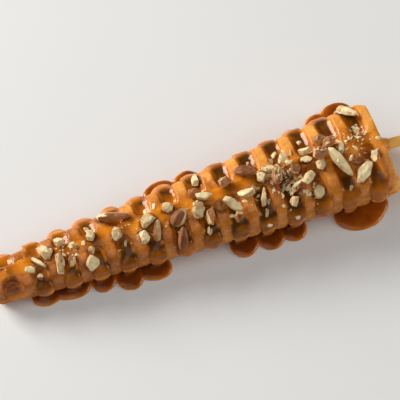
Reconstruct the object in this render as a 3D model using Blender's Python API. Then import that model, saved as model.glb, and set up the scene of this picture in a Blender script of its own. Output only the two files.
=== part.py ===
"""A long tapered waffle baked round a stick, with caramel poured along it and chopped almonds.

The waffle lies on the ridge of its lower side. +X runs from the tip to the stick, +Z is up, and
the origin is on the lower ridge, under the rib in the middle of the waffle. A station is a
distance along the waffle from the end of its tip. All lengths are in metres.
"""

import math
import random

import bmesh
import bpy
from mathutils import Matrix, Vector
from mathutils.bvhtree import BVHTree

MM = 0.001
GAP = 0.3 * MM                      # kept between two solids that touch in the real thing

# The waffle: two mould halves, alike, that meet in a thin line of flash at half height.
PITCH = 17.8 * MM                   # from rib to rib
POCKETS = 14                        # in each of the two rows of a side
LENGTH = 255.8 * MM
END_MARGIN = 10.8 * MM              # from the last pocket's middle to the base end
END_OUT = 4.5 * MM                  # how far the base end slopes out, from the ridge to the flash
CORNER_LENGTH = 4.5 * MM            # of the chamfer at the corners of the base end
CORNER_WIDTH = 3.2 * MM
FIRST_SHIFT = 1.5 * MM              # the first pocket sits this much nearer the tip ...
FIRST_EXTRA = 0.9 * MM              # ... and is this much wider to each side
TIP_HALF_WIDTH = 12.4 * MM
BASE_HALF_WIDTH = 31.0 * MM
TIP_HALF_HEIGHT = 10.4 * MM
BASE_HALF_HEIGHT = 22.2 * MM
SQUARENESS = 3.0                    # exponent of the arched profile: 2 is an ellipse
TIP_ROUND = 9.0 * MM                # length over which the tip rounds off
RIDGE_HALF = 3.0 * MM               # half width of the flat ridge along the middle
FLASH = 1.5 * MM                    # how far the flash stands out of the sides
FLASH_HALF_THICK = 1.0 * MM

# A pocket: U-shaped towards the ridge, open over a sill at the side, with drafted walls.
POCKET_HALF_FLOOR = 4.2 * MM
DRAFT = 0.18
DEPTH_SHARE = 0.38                  # pocket depth as a share of the half height
SILL_SHARE = 0.14                   # height of the sill over the parting line, same share

# The stick.
STICK_RADIUS = 3.4 * MM
STICK_ASIDE = 1.2 * MM              # of the middle, at the base end
STICK_OUT = 75.0 * MM               # beyond the base end
STICK_IN = 130.0 * MM
STICK_TURN = math.radians(-3.5)     # askew in plan, towards the near side
COLLAR = 5.0 * MM                   # batter that crept along the stick


def station_of_pocket(index):
    shift = FIRST_SHIFT if index == 0 else 0.0
    return LENGTH - END_MARGIN - (POCKETS - 1 - index) * PITCH - shift


ORIGIN_STATION = station_of_pocket(POCKETS // 2) - 0.5 * PITCH


def x_at(station):
    return station - ORIGIN_STATION


def taper(at_tip, at_base, station):
    return at_tip + (at_base - at_tip) * station / LENGTH


def half_width(station):
    return taper(TIP_HALF_WIDTH, BASE_HALF_WIDTH, station)


def half_height(station):
    """Half the waffle's height, which is also the height of its parting line."""
    return taper(TIP_HALF_HEIGHT, BASE_HALF_HEIGHT, station)


def tip_fullness(station):
    """1 along the waffle, falling to 0 at the very end of the tip."""
    if station >= TIP_ROUND:
        return 1.0
    back = (TIP_ROUND - station) / TIP_ROUND
    return (1.0 - back ** SQUARENESS) ** (1.0 / SQUARENESS)


def arch(y, width, height):
    """Height over the parting line, at y, of a flat-topped arch."""
    reach = (abs(y) - RIDGE_HALF) / (width - RIDGE_HALF)
    if reach <= 0.0:
        return height
    if reach >= 1.0:
        return 0.0
    return height * (1.0 - reach ** SQUARENESS) ** (1.0 / SQUARENESS)


# ---------------------------------------------------------------- mesh helpers


def new_object(name, bm):
    mesh = bpy.data.meshes.new(name)
    bmesh.ops.recalc_face_normals(bm, faces=bm.faces)
    bm.to_mesh(mesh)
    bm.free()
    thing = bpy.data.objects.new(name, mesh)
    bpy.context.scene.collection.objects.link(thing)
    return thing


def loft(name, rings, crease=None):
    """A closed solid through rings of the same number of points.

    The last face is bent along the line between two of its points, where crease names them.
    """
    bm = bmesh.new()
    rows = [[bm.verts.new(point) for point in ring] for ring in rings]
    count = len(rings[0])
    for row, following in zip(rows, rows[1:]):
        for i in range(count):
            j = (i + 1) % count
            bm.faces.new((row[i], row[j], following[j], following[i]))
    bm.faces.new(rows[0][::-1])
    end = bm.faces.new(rows[-1])
    if crease:
        bmesh.utils.face_split(end, rows[-1][crease[0]], rows[-1][crease[1]])
    return new_object(name, bm)


def remove(things):
    for thing in things:
        mesh = thing.data
        bpy.data.objects.remove(thing)
        bpy.data.meshes.remove(mesh)


def combine(target, others, operation, solver="EXACT"):
    """Apply one Boolean of others on target, and remove others."""
    group = bpy.data.collections.new("operands")
    for other in others:
        group.objects.link(other)
    cut = target.modifiers.new("combine", "BOOLEAN")
    cut.operand_type = "COLLECTION"
    cut.collection = group
    cut.operation = operation
    cut.solver = solver
    depsgraph = bpy.context.evaluated_depsgraph_get()
    mesh = bpy.data.meshes.new_from_object(target.evaluated_get(depsgraph))
    target.modifiers.clear()
    old = target.data
    target.data = mesh
    bpy.data.meshes.remove(old)
    bpy.data.collections.remove(group)
    remove(others)
    return target


def tidy(thing, flatness):
    """Join faces that are flat within an angle, and keep the largest body."""
    bm = bmesh.new()
    bm.from_mesh(thing.data)
    bmesh.ops.dissolve_limit(bm, verts=bm.verts, edges=bm.edges, angle_limit=flatness)
    drop_scraps(bm)
    bmesh.ops.triangulate(bm, faces=bm.faces, ngon_method="BEAUTY")
    bm.to_mesh(thing.data)
    bm.free()


def drop_scraps(bm):
    left = set(bm.verts)
    bodies = []
    while left:
        seed = left.pop()
        body = [seed]
        queue = [seed]
        while queue:
            vert = queue.pop()
            for edge in vert.link_edges:
                other = edge.other_vert(vert)
                if other in left:
                    left.remove(other)
                    body.append(other)
                    queue.append(other)
        bodies.append(body)
    bodies.sort(key=len)
    for body in bodies[:-1]:
        bmesh.ops.delete(bm, geom=body, context="VERTS")


def material(name, colour, roughness):
    made = bpy.data.materials.new(name)
    made.use_nodes = True
    shader = made.node_tree.nodes["Principled BSDF"]
    shader.inputs["Base Color"].default_value = (*colour, 1.0)
    shader.inputs["Roughness"].default_value = roughness
    shader.inputs["Metallic"].default_value = 0.0
    return made


def dress(thing, finish):
    thing.data.materials.clear()
    thing.data.materials.append(finish)
    thing.data.shade_smooth()
    thing.data.set_sharp_from_angle(angle=math.radians(35.0))
    return thing


# ---------------------------------------------------------------- the waffle

PROFILE_STEPS = 7                   # along a quarter of the section
TIP_STEPS = 5
FIRST_TIP_ANGLE = math.radians(14.0)            # of the round tip, where its blunt end starts
FLOOR_STEPS = 3                     # along the curved floor of a pocket
UPPER_ARC_STEPS = 5                 # round the inner end of a pocket
LOWER_ARC_STEPS = 4
PEG_HEIGHT = 16.0 * MM              # the mould's peg, clear of the ridge
PEG_OUT = 4.0 * MM                  # and clear of the side
BAR_SIDES = 14


def section(station, grow):
    """One ring of the waffle's section, all the way round."""
    full = tip_fullness(station)
    corner = CORNER_WIDTH * max(station - LENGTH + CORNER_LENGTH, 0.0) / CORNER_LENGTH
    width = (half_width(station) - corner + grow) * full
    middle = half_height(station)
    height = (middle + grow) * full
    ridge = min(RIDGE_HALF, 0.5 * width)
    quarter = []
    for step in range(PROFILE_STEPS + 1):
        angle = 0.5 * math.pi * step / PROFILE_STEPS
        y = ridge + (width - ridge) * max(math.cos(angle), 0.0) ** (2.0 / SQUARENESS)
        z = height * max(math.sin(angle), 0.0) ** (2.0 / SQUARENESS)
        quarter.append((y, z))
    right_up = quarter
    left_up = [(-y, z) for y, z in reversed(quarter)]
    left_down = [(-y, -z) for y, z in quarter[1:]]
    right_down = [(y, -z) for y, z in reversed(quarter[1:])]
    x = x_at(station)
    return [(x, y, middle + z) for y, z in right_up + left_up + left_down + right_down]


def waffle_body(grow):
    """The two filled mould halves, before the pockets."""
    stations = []
    for step in range(TIP_STEPS):
        angle = FIRST_TIP_ANGLE + (0.5 * math.pi - FIRST_TIP_ANGLE) * step / TIP_STEPS
        stations.append(TIP_ROUND * (1.0 - math.cos(angle)))
    stations += [TIP_ROUND, LENGTH - CORNER_LENGTH, LENGTH]
    rings = [section(station, grow) for station in stations]
    rings[0] = [(x - grow, y, z) for x, y, z in rings[0]]
    middle = half_height(LENGTH)
    rings[-1] = [(x + grow + END_OUT * (1.0 - abs(z - middle) / (middle + grow)), y, z)
                 for x, y, z in rings[-1]]
    return loft("body", rings, crease=(0, 2 * PROFILE_STEPS + 1))


def flash_plate(grow):
    """The thin plate squeezed out between the mould halves, all round the outline."""
    reach = FLASH + grow
    outline = []
    for step in range(TIP_STEPS * 2 + 1):
        angle = math.radians(-90.0 + 180.0 * step / (TIP_STEPS * 2))
        back = TIP_ROUND + reach
        y = (half_width(TIP_ROUND) + reach) * math.copysign(
            abs(math.sin(angle)) ** (2.0 / SQUARENESS), math.sin(angle))
        outline.append((TIP_ROUND - back * math.cos(angle) ** (2.0 / SQUARENESS), y))
    base_half = half_width(LENGTH) + reach
    end = LENGTH + END_OUT + reach
    outline.append((end - CORNER_LENGTH, base_half))
    outline.append((end, base_half - CORNER_WIDTH))
    outline.append((end, CORNER_WIDTH - base_half))
    outline.append((end - CORNER_LENGTH, -base_half))
    thick = FLASH_HALF_THICK + grow
    lower = [(x_at(s), y, half_height(s) - thick) for s, y in outline]
    upper = [(x_at(s), y, half_height(s) + thick) for s, y in outline]
    return loft("flash", [lower, upper])


def pocket_depth(station):
    return DEPTH_SHARE * half_height(station)


def floor_height(station, y):
    """Height of the pocket's floor over the parting line."""
    depth = pocket_depth(station)
    sill = SILL_SHARE * half_height(station)
    inner = arch(y, half_width(station) - 0.55 * depth, half_height(station) - depth)
    return max(inner, sill)


def pocket_half_floor(index):
    return POCKET_HALF_FLOOR + (FIRST_EXTRA if index == 0 else 0.0)


def pocket_bend(index):
    """Distance from the middle of the waffle to the centre of the pocket's round end."""
    return RIDGE_HALF + pocket_half_floor(index) + DRAFT * pocket_depth(station_of_pocket(index))


def floor_places(index):
    """Distances from the middle at which the pocket's floor bends, from its round end out."""
    station = station_of_pocket(index)
    bend = pocket_bend(index)
    sill_start = max(half_width(station) - 0.55 * pocket_depth(station), bend + 1.0 * MM)
    return [bend + (sill_start - bend) * math.sin(0.5 * math.pi * i / FLOOR_STEPS)
            for i in range(FLOOR_STEPS + 1)]


def pocket_cutter(index, side, upper):
    """What the mould's peg takes out: a drafted U over the floor, out past the side."""
    station = station_of_pocket(index)
    middle = half_height(station)
    wall = PEG_HEIGHT
    arc_steps = UPPER_ARC_STEPS if upper else LOWER_ARC_STEPS
    half_floor = pocket_half_floor(index)
    profile = [(half_floor, 0.0), (half_floor + DRAFT * wall, wall)]
    bend = pocket_bend(index)
    ys = floor_places(index) + [half_width(station) + PEG_OUT]
    facing = 1.0 if upper else -1.0

    def point(along, y, over_floor, floor_y):
        z = middle + facing * (floor_height(station, floor_y) + over_floor)
        return (x_at(station) + along, side * y, z)

    bm = bmesh.new()
    low = [bm.verts.new(point(0.0, y, 0.0, y)) for y in ys]
    high = [bm.verts.new(point(0.0, y, wall, y)) for y in ys]
    walls = []
    for y in reversed(ys):
        walls.append([bm.verts.new(point(-r, y, h, y)) for r, h in profile])
    for step in range(1, arc_steps):
        angle = math.pi * step / arc_steps
        walls.append([bm.verts.new(point(-r * math.cos(angle), bend - r * math.sin(angle), h, bend))
                      for r, h in profile])
    for y in ys:
        walls.append([bm.verts.new(point(r, y, h, y)) for r, h in profile])
    last = len(ys) - 1

    def spine(row, vertices):
        if row <= last:
            return vertices[last - row]
        if row < last + arc_steps:
            return vertices[0]
        return vertices[row - last - arc_steps]

    for here, there, row in zip(walls, walls[1:], range(len(walls) - 1)):
        bm.faces.new((here[0], here[1], there[1], there[0]))
        for vertices, k in ((low, 0), (high, 1)):
            near, far = spine(row, vertices), spine(row + 1, vertices)
            corners = [near, here[k], there[k]] if near is far else [near, here[k], there[k], far]
            bm.faces.new(corners)
    bm.faces.new([low[last]] + walls[0] + [high[last]] + walls[-1][::-1])
    return new_object("pocket", bm)


def stick_frame():
    """Where the stick leaves the base end, and its direction."""
    slope = (BASE_HALF_HEIGHT - TIP_HALF_HEIGHT) / LENGTH
    way = Vector((math.cos(STICK_TURN), math.sin(STICK_TURN), slope)).normalized()
    return Vector((x_at(LENGTH + END_OUT), STICK_ASIDE, half_height(LENGTH))), way


def round_bar(name, radii_at):
    """A turned bar about the stick's axis; radii_at lists (distance past the base, radius)."""
    foot, way = stick_frame()
    across = way.cross(Vector((0.0, 0.0, 1.0))).normalized()
    up = across.cross(way)
    rings = []
    for distance, radius in radii_at:
        centre = foot + way * distance
        ring = []
        for i in range(BAR_SIDES):
            angle = 2.0 * math.pi * i / BAR_SIDES
            ring.append(centre + across * radius * math.cos(angle) + up * radius * math.sin(angle))
        rings.append(ring)
    return loft(name, rings)


def waffle_blank(grow):
    """The waffle without its pockets: mould halves, flash and the collar round the stick."""
    collar = round_bar("collar", [(-8.0 * MM, STICK_RADIUS + 2.6 * MM + grow),
                                  (0.0, STICK_RADIUS + 2.4 * MM + grow),
                                  (0.4 * COLLAR, STICK_RADIUS + 1.3 * MM + grow),
                                  (COLLAR, STICK_RADIUS + 0.7 * MM + grow)])
    return combine(waffle_body(grow), [flash_plate(grow), collar], "UNION")


def make_waffle():
    waffle = waffle_blank(0.0)
    waffle.name = "waffle"
    cutters = [pocket_cutter(index, side, upper)
               for upper in (True, False) for side in (-1.0, 1.0) for index in range(POCKETS)]
    cutters.append(round_bar("bore", [(-STICK_IN - GAP, STICK_RADIUS + GAP),
                                      (COLLAR + 1.0 * MM, STICK_RADIUS + GAP)]))
    combine(waffle, cutters, "DIFFERENCE")
    tidy(waffle, math.radians(2.0))
    return dress(waffle, material("baked waffle", (0.62, 0.28, 0.07), 0.55))


def make_stick():
    chamfer = 0.7 * MM
    stick = round_bar("stick", [(-STICK_IN, STICK_RADIUS - chamfer),
                                (-STICK_IN + chamfer, STICK_RADIUS),
                                (STICK_OUT - chamfer, STICK_RADIUS),
                                (STICK_OUT, STICK_RADIUS - chamfer)])
    return dress(stick, material("wood", (0.72, 0.50, 0.25), 0.6))


# ---------------------------------------------------------------- the caramel

FILM = 1.1 * MM                     # over the ridge, with the gap under it
FILL_SHARE = 0.34                   # of the pocket's depth
DRIP_OUT = {-1.0: 2.3 * MM, 1.0: 3.6 * MM}      # past the flash, near side and far side
DRIP_HALF = {-1.0: 5.9 * MM, 1.0: 7.8 * MM}     # half its length along the waffle
TONGUE = 0.88                       # a filling's width over the flash, as a share
EMPTY_POCKETS = {(0, -1.0)}

# Puddles on the ground: side, pocket it lies at (a fraction lies between two), reach past the
# flash, half length and half width.
PUDDLES = (
    (-1.0, 1.05, 4.0 * MM, 11.0 * MM, 7.5 * MM),
    (-1.0, 1.95, 5.0 * MM, 11.5 * MM, 8.5 * MM),
    (-1.0, 3.05, 5.0 * MM, 8.5 * MM, 8.0 * MM),
    (-1.0, 3.95, 9.0 * MM, 8.5 * MM, 9.5 * MM),
    (-1.0, 4.90, 7.0 * MM, 10.5 * MM, 9.0 * MM),
    (-1.0, 8.15, 6.5 * MM, 10.0 * MM, 9.5 * MM),
    (-1.0, 9.10, 6.5 * MM, 9.0 * MM, 9.0 * MM),
    (-1.0, 10.0, 5.0 * MM, 8.5 * MM, 8.5 * MM),
    (-1.0, 12.5, 8.8 * MM, 18.5 * MM, 13.0 * MM),
    (1.0, 6.05, 15.0 * MM, 12.0 * MM, 11.5 * MM),
    (1.0, 7.10, 14.5 * MM, 10.0 * MM, 11.0 * MM),
    (1.0, 12.4, 16.5 * MM, 11.5 * MM, 12.5 * MM),
    (1.0, 13.15, 19.6 * MM, 11.0 * MM, 9.0 * MM),
)
# Where caramel runs down from the edge to a puddle: side and pocket.
RUNS = (
    (-1.0, 1), (-1.0, 2), (-1.0, 3), (-1.0, 4), (-1.0, 5), (-1.0, 8), (-1.0, 9), (-1.0, 10),
    (-1.0, 12), (1.0, 6), (1.0, 7), (1.0, 12),
)
# A puddle's bulging rim: height and how far it stands back from the outline.
PUDDLE_RINGS = ((0.0, 0.2 * MM), (1.1 * MM, 0.1 * MM), (2.3 * MM, 1.8 * MM))
PUDDLE_SIDES = 12
# A run's outline on its way up: share of the way to the parting line, half length, half depth.
RUN_RINGS = ((0.0, 6.0 * MM, 3.6 * MM), (0.4, 4.1 * MM, 2.3 * MM), (0.9, 4.7 * MM, 2.4 * MM))
FILM_STEPS = 15
FILM_HALF_WIDTH = 4.9 * MM
FILM_WAVE = 0.5 * MM
FILM_EDGE = 0.4 * MM                # how much lower the coat is at its sides


def ridge_film():
    """The thin coat along the ridge, wavy at both sides, a gap over the waffle."""
    rings = []
    first = station_of_pocket(0) - 2.0 * MM
    last = LENGTH - 4.0 * MM
    for step in range(FILM_STEPS + 1):
        station = first + (last - first) * step / FILM_STEPS
        near = FILM_HALF_WIDTH + FILM_WAVE * math.sin(2.1 * step)
        far = FILM_HALF_WIDTH + FILM_WAVE * math.sin(1.7 * step + 2.0)
        top = 2.0 * half_height(station) + FILM
        low = top - FILM + GAP
        x = x_at(station)
        rings.append([(x, -near, low), (x, far, low), (x, far, top - FILM_EDGE),
                      (x, 0.0, top), (x, -near, top - FILM_EDGE)])
    return loft("film", rings)


def filling(index, side):
    """What stands in a pocket: it comes down from the ridge and runs out over the sill.

    Its underside and flanks keep the gap to the pocket, so it needs no trimming.
    """
    station = station_of_pocket(index)
    middle = half_height(station)
    depth = pocket_depth(station)
    width = half_width(station)
    half_floor = pocket_half_floor(index) - GAP
    bend = pocket_bend(index)
    floor_at_bend = floor_height(station, bend)
    ridge_reach = half_floor + DRAFT * depth
    surface_width = width + FLASH + 1.0 * MM
    surface_height = middle - (1.0 - FILL_SHARE) * depth
    high = 0.9 * ridge_reach
    deep = 0.8 * half_floor
    # Rows from the ridge out: distance from the middle, heights over the parting line, how far the
    # row lies inside the pocket's round end, and the share of the pocket's width that is filled.
    rows = [(bend - high, floor_at_bend + (high + 0.5 * GAP - half_floor) / DRAFT + GAP,
             middle + 0.8 * FILM, high, 1.0),
            (bend - deep, floor_at_bend + GAP, middle - 0.25 * depth, deep, 1.0)]
    for y in floor_places(index):
        rows.append((y, floor_height(station, y) + GAP, arch(y, surface_width, surface_height),
                     0.0, 1.0))
    rows.append((width + FLASH, floor_height(station, width) + GAP,
                 arch(width + FLASH, surface_width, surface_height) + 0.6 * MM, 0.0, TONGUE))
    x = x_at(station)
    rings = []
    for y, low, top, past, share in rows:
        over = low - GAP - floor_height(station, max(y, bend))
        low_half = share * math.sqrt(max((half_floor + DRAFT * over) ** 2 - past ** 2, GAP ** 2))
        top_half = share * math.sqrt((half_floor + DRAFT * (over + top - low)) ** 2 - past ** 2)
        rings.append([(x - low_half, side * y, middle + low), (x + low_half, side * y, middle + low),
                      (x + top_half, side * y, middle + top), (x - top_half, side * y, middle + top)])
    return loft("filling", rings)


def blob(name, centre, radii):
    bm = bmesh.new()
    bmesh.ops.create_uvsphere(bm, u_segments=8, v_segments=4, radius=1.0)
    bmesh.ops.scale(bm, vec=radii, verts=bm.verts)
    bmesh.ops.translate(bm, vec=centre, verts=bm.verts)
    return new_object(name, bm)


def drip(index, side, chance):
    """The bead that hangs over the flash at the outer end of a pocket."""
    station = station_of_pocket(index)
    size = chance.uniform(0.92, 1.08)
    reach = DRIP_OUT[side] * chance.uniform(0.8, 1.2)
    middle = half_height(station)
    thick = 2.6 * MM + reach
    centre = (x_at(station) + chance.uniform(-0.5, 0.5) * MM,
              side * (half_width(station) + FLASH + reach - thick),
              middle + 0.4 * MM)
    return blob("drip", centre, (DRIP_HALF[side] * size, thick, (1.8 * MM + 0.15 * middle) * size))


def run_down(index, side):
    """Caramel that runs from the edge down the lower side to the ground."""
    station = station_of_pocket(index)
    middle = half_height(station)
    rings = []
    for share, half_length, half_depth in RUN_RINGS:
        below = (1.0 - share) * middle
        wall = half_width(station) * (1.0 - (below / middle) ** SQUARENESS) ** (1.0 / SQUARENESS)
        y = side * max(wall + 0.6 * MM, 0.82 * half_width(station))
        rings.append([(x_at(station) + half_length * math.cos(angle),
                       y + half_depth * math.sin(angle), 0.6 * MM + share * middle)
                      for angle in (2.0 * math.pi * i / 6 for i in range(6))])
    return loft("run", rings)


def puddle(side, place, reach, half_length, half_width_of_puddle, chance):
    station = station_of_pocket(1) + (place - 1.0) * PITCH
    x = x_at(station)
    y = side * (half_width(station) + FLASH + reach - half_width_of_puddle)
    lean = chance.uniform(0.0, 2.0 * math.pi)
    rings = []
    for z, inset in PUDDLE_RINGS:
        ring = []
        for i in range(PUDDLE_SIDES):
            angle = 2.0 * math.pi * i / PUDDLE_SIDES
            swell = 1.0 + 0.035 * math.sin(2.0 * angle + lean) + 0.025 * math.sin(3.0 * angle - lean)
            ring.append((x + (half_length * swell - inset) * math.cos(angle),
                         y + (half_width_of_puddle * swell - inset) * math.sin(angle), z))
        rings.append(ring)
    return loft("puddle", rings)


def make_caramel(waffle):
    """All the caramel as one solid. EXACT tears these unions into scraps, so MANIFOLD makes them."""
    chance = random.Random(11)
    filled = [(index, side) for side in (-1.0, 1.0) for index in range(POCKETS)
              if (index, side) not in EMPTY_POCKETS]
    outer = [drip(index, side, chance) for index, side in filled]
    outer += [run_down(index, side) for side, index in RUNS]
    outer += [puddle(*place, chance) for place in PUDDLES]
    over_edge = combine(outer[0], outer[1:], "UNION", "MANIFOLD")
    combine(over_edge, [waffle_blank(GAP)], "DIFFERENCE", "MANIFOLD")
    fillings = [filling(index, side) for index, side in filled]
    caramel = combine(ridge_film(), [over_edge] + fillings, "UNION", "MANIFOLD")
    caramel.name = "caramel"
    ground = [surface_tree(waffle), surface_tree(caramel)]
    combine(caramel, [chip(*place, chance, ground) for place in CHIPS], "UNION", "MANIFOLD")
    tidy(caramel, math.radians(2.5))
    return dress(caramel, material("caramel", (0.30, 0.09, 0.01), 0.12))


# ---------------------------------------------------------------- the almonds

# Chopped almonds: the pocket each lies at (a fraction lies between two), distance from the middle
# of the waffle, length, width and thickness, turn in degrees, and shape. Lengths in mm.
ALMONDS = (
    (0.7, -5.3, 7.8, 4.6, 3.5, -20, "chunk"),
    (1.0, -1.1, 13.1, 3.1, 2.6, -52, "slab"),
    (1.39, 2.8, 9.7, 7.4, 5.3, 72, "chunk"),
    (1.69, -8.9, 15.5, 5.7, 4.0, 72, "slab"),
    (1.89, 6.8, 7.8, 5.0, 3.1, -20, "slab"),
    (2.13, -8.2, 8.4, 4.6, 3.7, 71, "chunk"),
    (2.8, -13.6, 11.1, 8.3, 2.8, 71, "leaf"),
    (2.86, -6.5, 7.2, 4.0, 3.2, 71, "chunk"),
    (2.99, 2.3, 7.2, 5.7, 4.4, 71, "chunk"),
    (3.85, -3.3, 9.1, 6.7, 4.8, 71, "chunk"),
    (3.97, 9.9, 22.7, 6.3, 4.4, -20, "half"),
    (4.68, -11.3, 10.5, 7.3, 5.3, 70, "chunk"),
    (4.97, -1.3, 13.6, 7.2, 4.8, 18, "slab"),
    (5.19, -9.5, 14.5, 5.9, 4.0, 70, "half"),
    (5.8, 2.2, 7.2, 6.3, 5.3, -20, "chunk"),
    (5.96, -18.8, 15.7, 6.7, 4.9, 70, "whole"),
    (6.06, -7.3, 13.3, 9.7, 4.4, 33, "half"),
    (6.8, -6.6, 11.6, 8.1, 3.3, 70, "leaf"),
    (6.83, 4.5, 7.0, 6.3, 4.4, -20, "chunk"),
    (7.09, 15.3, 10.1, 5.2, 3.5, 70, "slab"),
    (7.08, -1.6, 11.9, 5.1, 3.2, -20, "slab"),
    (7.09, -12.3, 11.6, 5.7, 4.4, 70, "slab"),
    (7.56, -9.0, 8.0, 7.0, 4.8, -20, "chunk"),
    (7.97, 5.0, 9.4, 7.4, 4.8, 69, "chunk"),
    (7.93, -11.5, 14.6, 6.1, 3.5, -48, "slab"),
    (8.0, -20.8, 8.5, 5.1, 4.0, 69, "chunk"),
    (8.46, -8.3, 12.4, 6.1, 3.5, -20, "slab"),
    (8.79, 6.2, 15.7, 8.3, 5.8, -20, "whole"),
    (9.05, -12.9, 13.6, 3.5, 3.5, 69, "slab"),
    (9.21, -1.6, 6.2, 5.9, 4.4, -20, "chunk"),
    (9.49, 2.1, 8.1, 5.1, 3.5, -20, "slab"),
    (9.71, -3.8, 14.1, 7.1, 5.3, 69, "whole"),
    (10.17, -14.9, 12.6, 4.2, 3.5, 33, "slab"),
    (9.98, -22.4, 7.3, 5.5, 4.0, 68, "chunk"),
    (10.09, 3.7, 8.0, 5.3, 3.9, 42, "chunk"),
    (10.43, -4.4, 6.8, 6.3, 4.4, -20, "chunk"),
    (10.87, -0.8, 9.5, 4.0, 3.2, -20, "slab"),
    (10.73, -12.6, 16.0, 5.6, 4.0, 36, "slab"),
    (10.93, -20.7, 8.9, 7.0, 3.9, 68, "leaf"),
    (10.96, 4.8, 8.7, 5.2, 3.5, -20, "slab"),
    (11.26, -6.9, 8.1, 5.7, 4.4, 68, "chunk"),
    (11.36, -1.2, 9.1, 7.9, 5.6, -20, "chunk"),
    (11.56, 9.2, 8.6, 5.9, 3.7, -20, "slab"),
    (11.93, -11.1, 23.9, 7.2, 5.3, -66, "half"),
    (11.82, 4.8, 10.7, 6.4, 4.4, 13, "chunk"),
    (12.15, -1.2, 8.8, 4.6, 3.9, 68, "chunk"),
    (12.51, -11.8, 9.7, 6.4, 4.8, -20, "chunk"),
    (12.57, -21.1, 15.7, 7.8, 5.4, 42, "slab"),
    (12.91, 23.8, 18.7, 5.8, 4.4, -57, "half"),
    (13.16, -13.1, 9.5, 5.7, 4.4, 67, "chunk"),
)
# Small chips stuck in the caramel: pocket, distance from the middle, length, width, turn.
CHIPS = (
    (0.95, -8.6, 5.6, 5.2, -20), (2.45, 1.6, 4.6, 4.0, -20), (3.0, 8.4, 5.6, 4.4, 71),
    (4.1, -7.6, 7.0, 4.2, 70), (5.1, 7.6, 7.0, 4.6, 70), (6.95, -19.8, 7.6, 3.0, 42),
    (7.95, -16.4, 4.8, 4.2, -20), (9.05, 14.4, 4.2, 3.8, -20), (10.0, 13.6, 7.2, 4.8, 69),
    (9.0, -21.0, 7.0, 3.8, 69), (10.3, 3.4, 4.8, 4.4, -20), (11.0, 15.6, 5.0, 4.2, -20),
    (12.95, 12.0, 5.0, 4.2, -20), (12.05, -24.6, 5.6, 3.4, 68), (12.8, 2.8, 4.8, 4.2, -20),
    (9.0, -27.0, 5.0, 4.0, -20), (10.0, -28.4, 5.0, 4.0, -20),
)
SUNK = 1.7 * MM                     # how far a chip sits in the caramel
CHIP_CLEAR = 0.2 * MM               # past the gap, so its lowest face isn't in the coat's own


def almond_outline(along):
    """Half width of an almond at a place along it: -1 is the round end, 1 the point."""
    return math.sqrt(max(1.0 - along * along, 0.0)) * (1.0 - 0.22 * along)


def nut_points(shape, chance):
    """Corner points of a piece of almond, to be wrapped in their hull."""
    if shape in ("whole", "half"):
        floor = -0.3 if shape == "half" else -1.0
        points = [(-1.0, 0.0, 0.0), (1.0, 0.0, 0.0)]
        for along in (-0.8, -0.3, 0.3, 0.78):
            for i in range(6):
                angle = 2.0 * math.pi * (i + chance.uniform(-0.1, 0.1)) / 6
                reach = almond_outline(along) * chance.uniform(0.92, 1.0)
                points.append((along, reach * math.cos(angle), max(reach * math.sin(angle), floor)))
        return points
    if shape == "leaf":
        points = []
        for level in (-1.0, 1.0):
            for i in range(7):
                angle = 2.0 * math.pi * i / 7 + chance.uniform(-0.12, 0.12)
                reach = 1.0 if level < 0.0 else chance.uniform(0.72, 0.92)
                points.append((reach * math.cos(angle), reach * math.sin(angle), level))
        return points
    corner = 0.62 if shape == "slab" else 0.45
    points = []
    for level in (-1.0, 1.0):
        turn = chance.uniform(-0.2, 0.2)
        for i in range(6):
            angle = math.pi * (i + 0.5) / 3 + turn + chance.uniform(-0.2, 0.2)
            reach = chance.uniform(0.8, 1.0) if level < 0.0 else chance.uniform(corner, 0.9)
            lift = level * chance.uniform(0.75, 1.0)
            points.append((reach * math.cos(angle), reach * math.sin(angle), lift))
    return points


def nut(name, shape, size, chance):
    """A piece of almond that fills a box of the given size about the origin."""
    bm = bmesh.new()
    corners = [bm.verts.new(point) for point in nut_points(shape, chance)]
    wrapped = bmesh.ops.convex_hull(bm, input=corners)
    spare = [v for v in set(wrapped["geom_interior"] + wrapped["geom_unused"])
             if isinstance(v, bmesh.types.BMVert)]
    bmesh.ops.delete(bm, geom=spare, context="VERTS")
    for axis in range(3):
        low = min(v.co[axis] for v in bm.verts)
        high = max(v.co[axis] for v in bm.verts)
        for v in bm.verts:
            v.co[axis] = size[axis] * ((v.co[axis] - low) / (high - low) - 0.5)
    return new_object(name, bm)


def surface_tree(thing):
    return BVHTree.FromPolygons([v.co for v in thing.data.vertices],
                                [face.vertices for face in thing.data.polygons])


def surface_height(trees, x, y):
    """Height of the highest surface over a place on the ground."""
    height = 0.0
    for tree in trees:
        place = tree.ray_cast(Vector((x, y, 5.0 * BASE_HALF_HEIGHT)), Vector((0.0, 0.0, -1.0)))[0]
        if place is not None:
            height = max(height, place.z)
    return height


def lean(trees, x, y, way, reach):
    """Slope of what lies under a piece, along one of its directions."""
    ahead = surface_height(trees, x + way.x * reach, y + way.y * reach)
    behind = surface_height(trees, x - way.x * reach, y - way.y * reach)
    steepest = math.tan(math.radians(38.0))
    return max(-steepest, min(steepest, (ahead - behind) / (2.0 * reach)))


def turned_to(trees, x, y, turn, size):
    """Rotation that lays a piece along the surface beneath it."""
    along = Vector((math.cos(turn), math.sin(turn), 0.0))
    across = Vector((-math.sin(turn), math.cos(turn), 0.0))
    along.z = lean(trees, x, y, along, 0.36 * size[0])
    across.z = lean(trees, x, y, across, 0.36 * size[1])
    along.normalize()
    up = along.cross(across).normalized()
    return Matrix((along, up.cross(along), up)).transposed()


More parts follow.
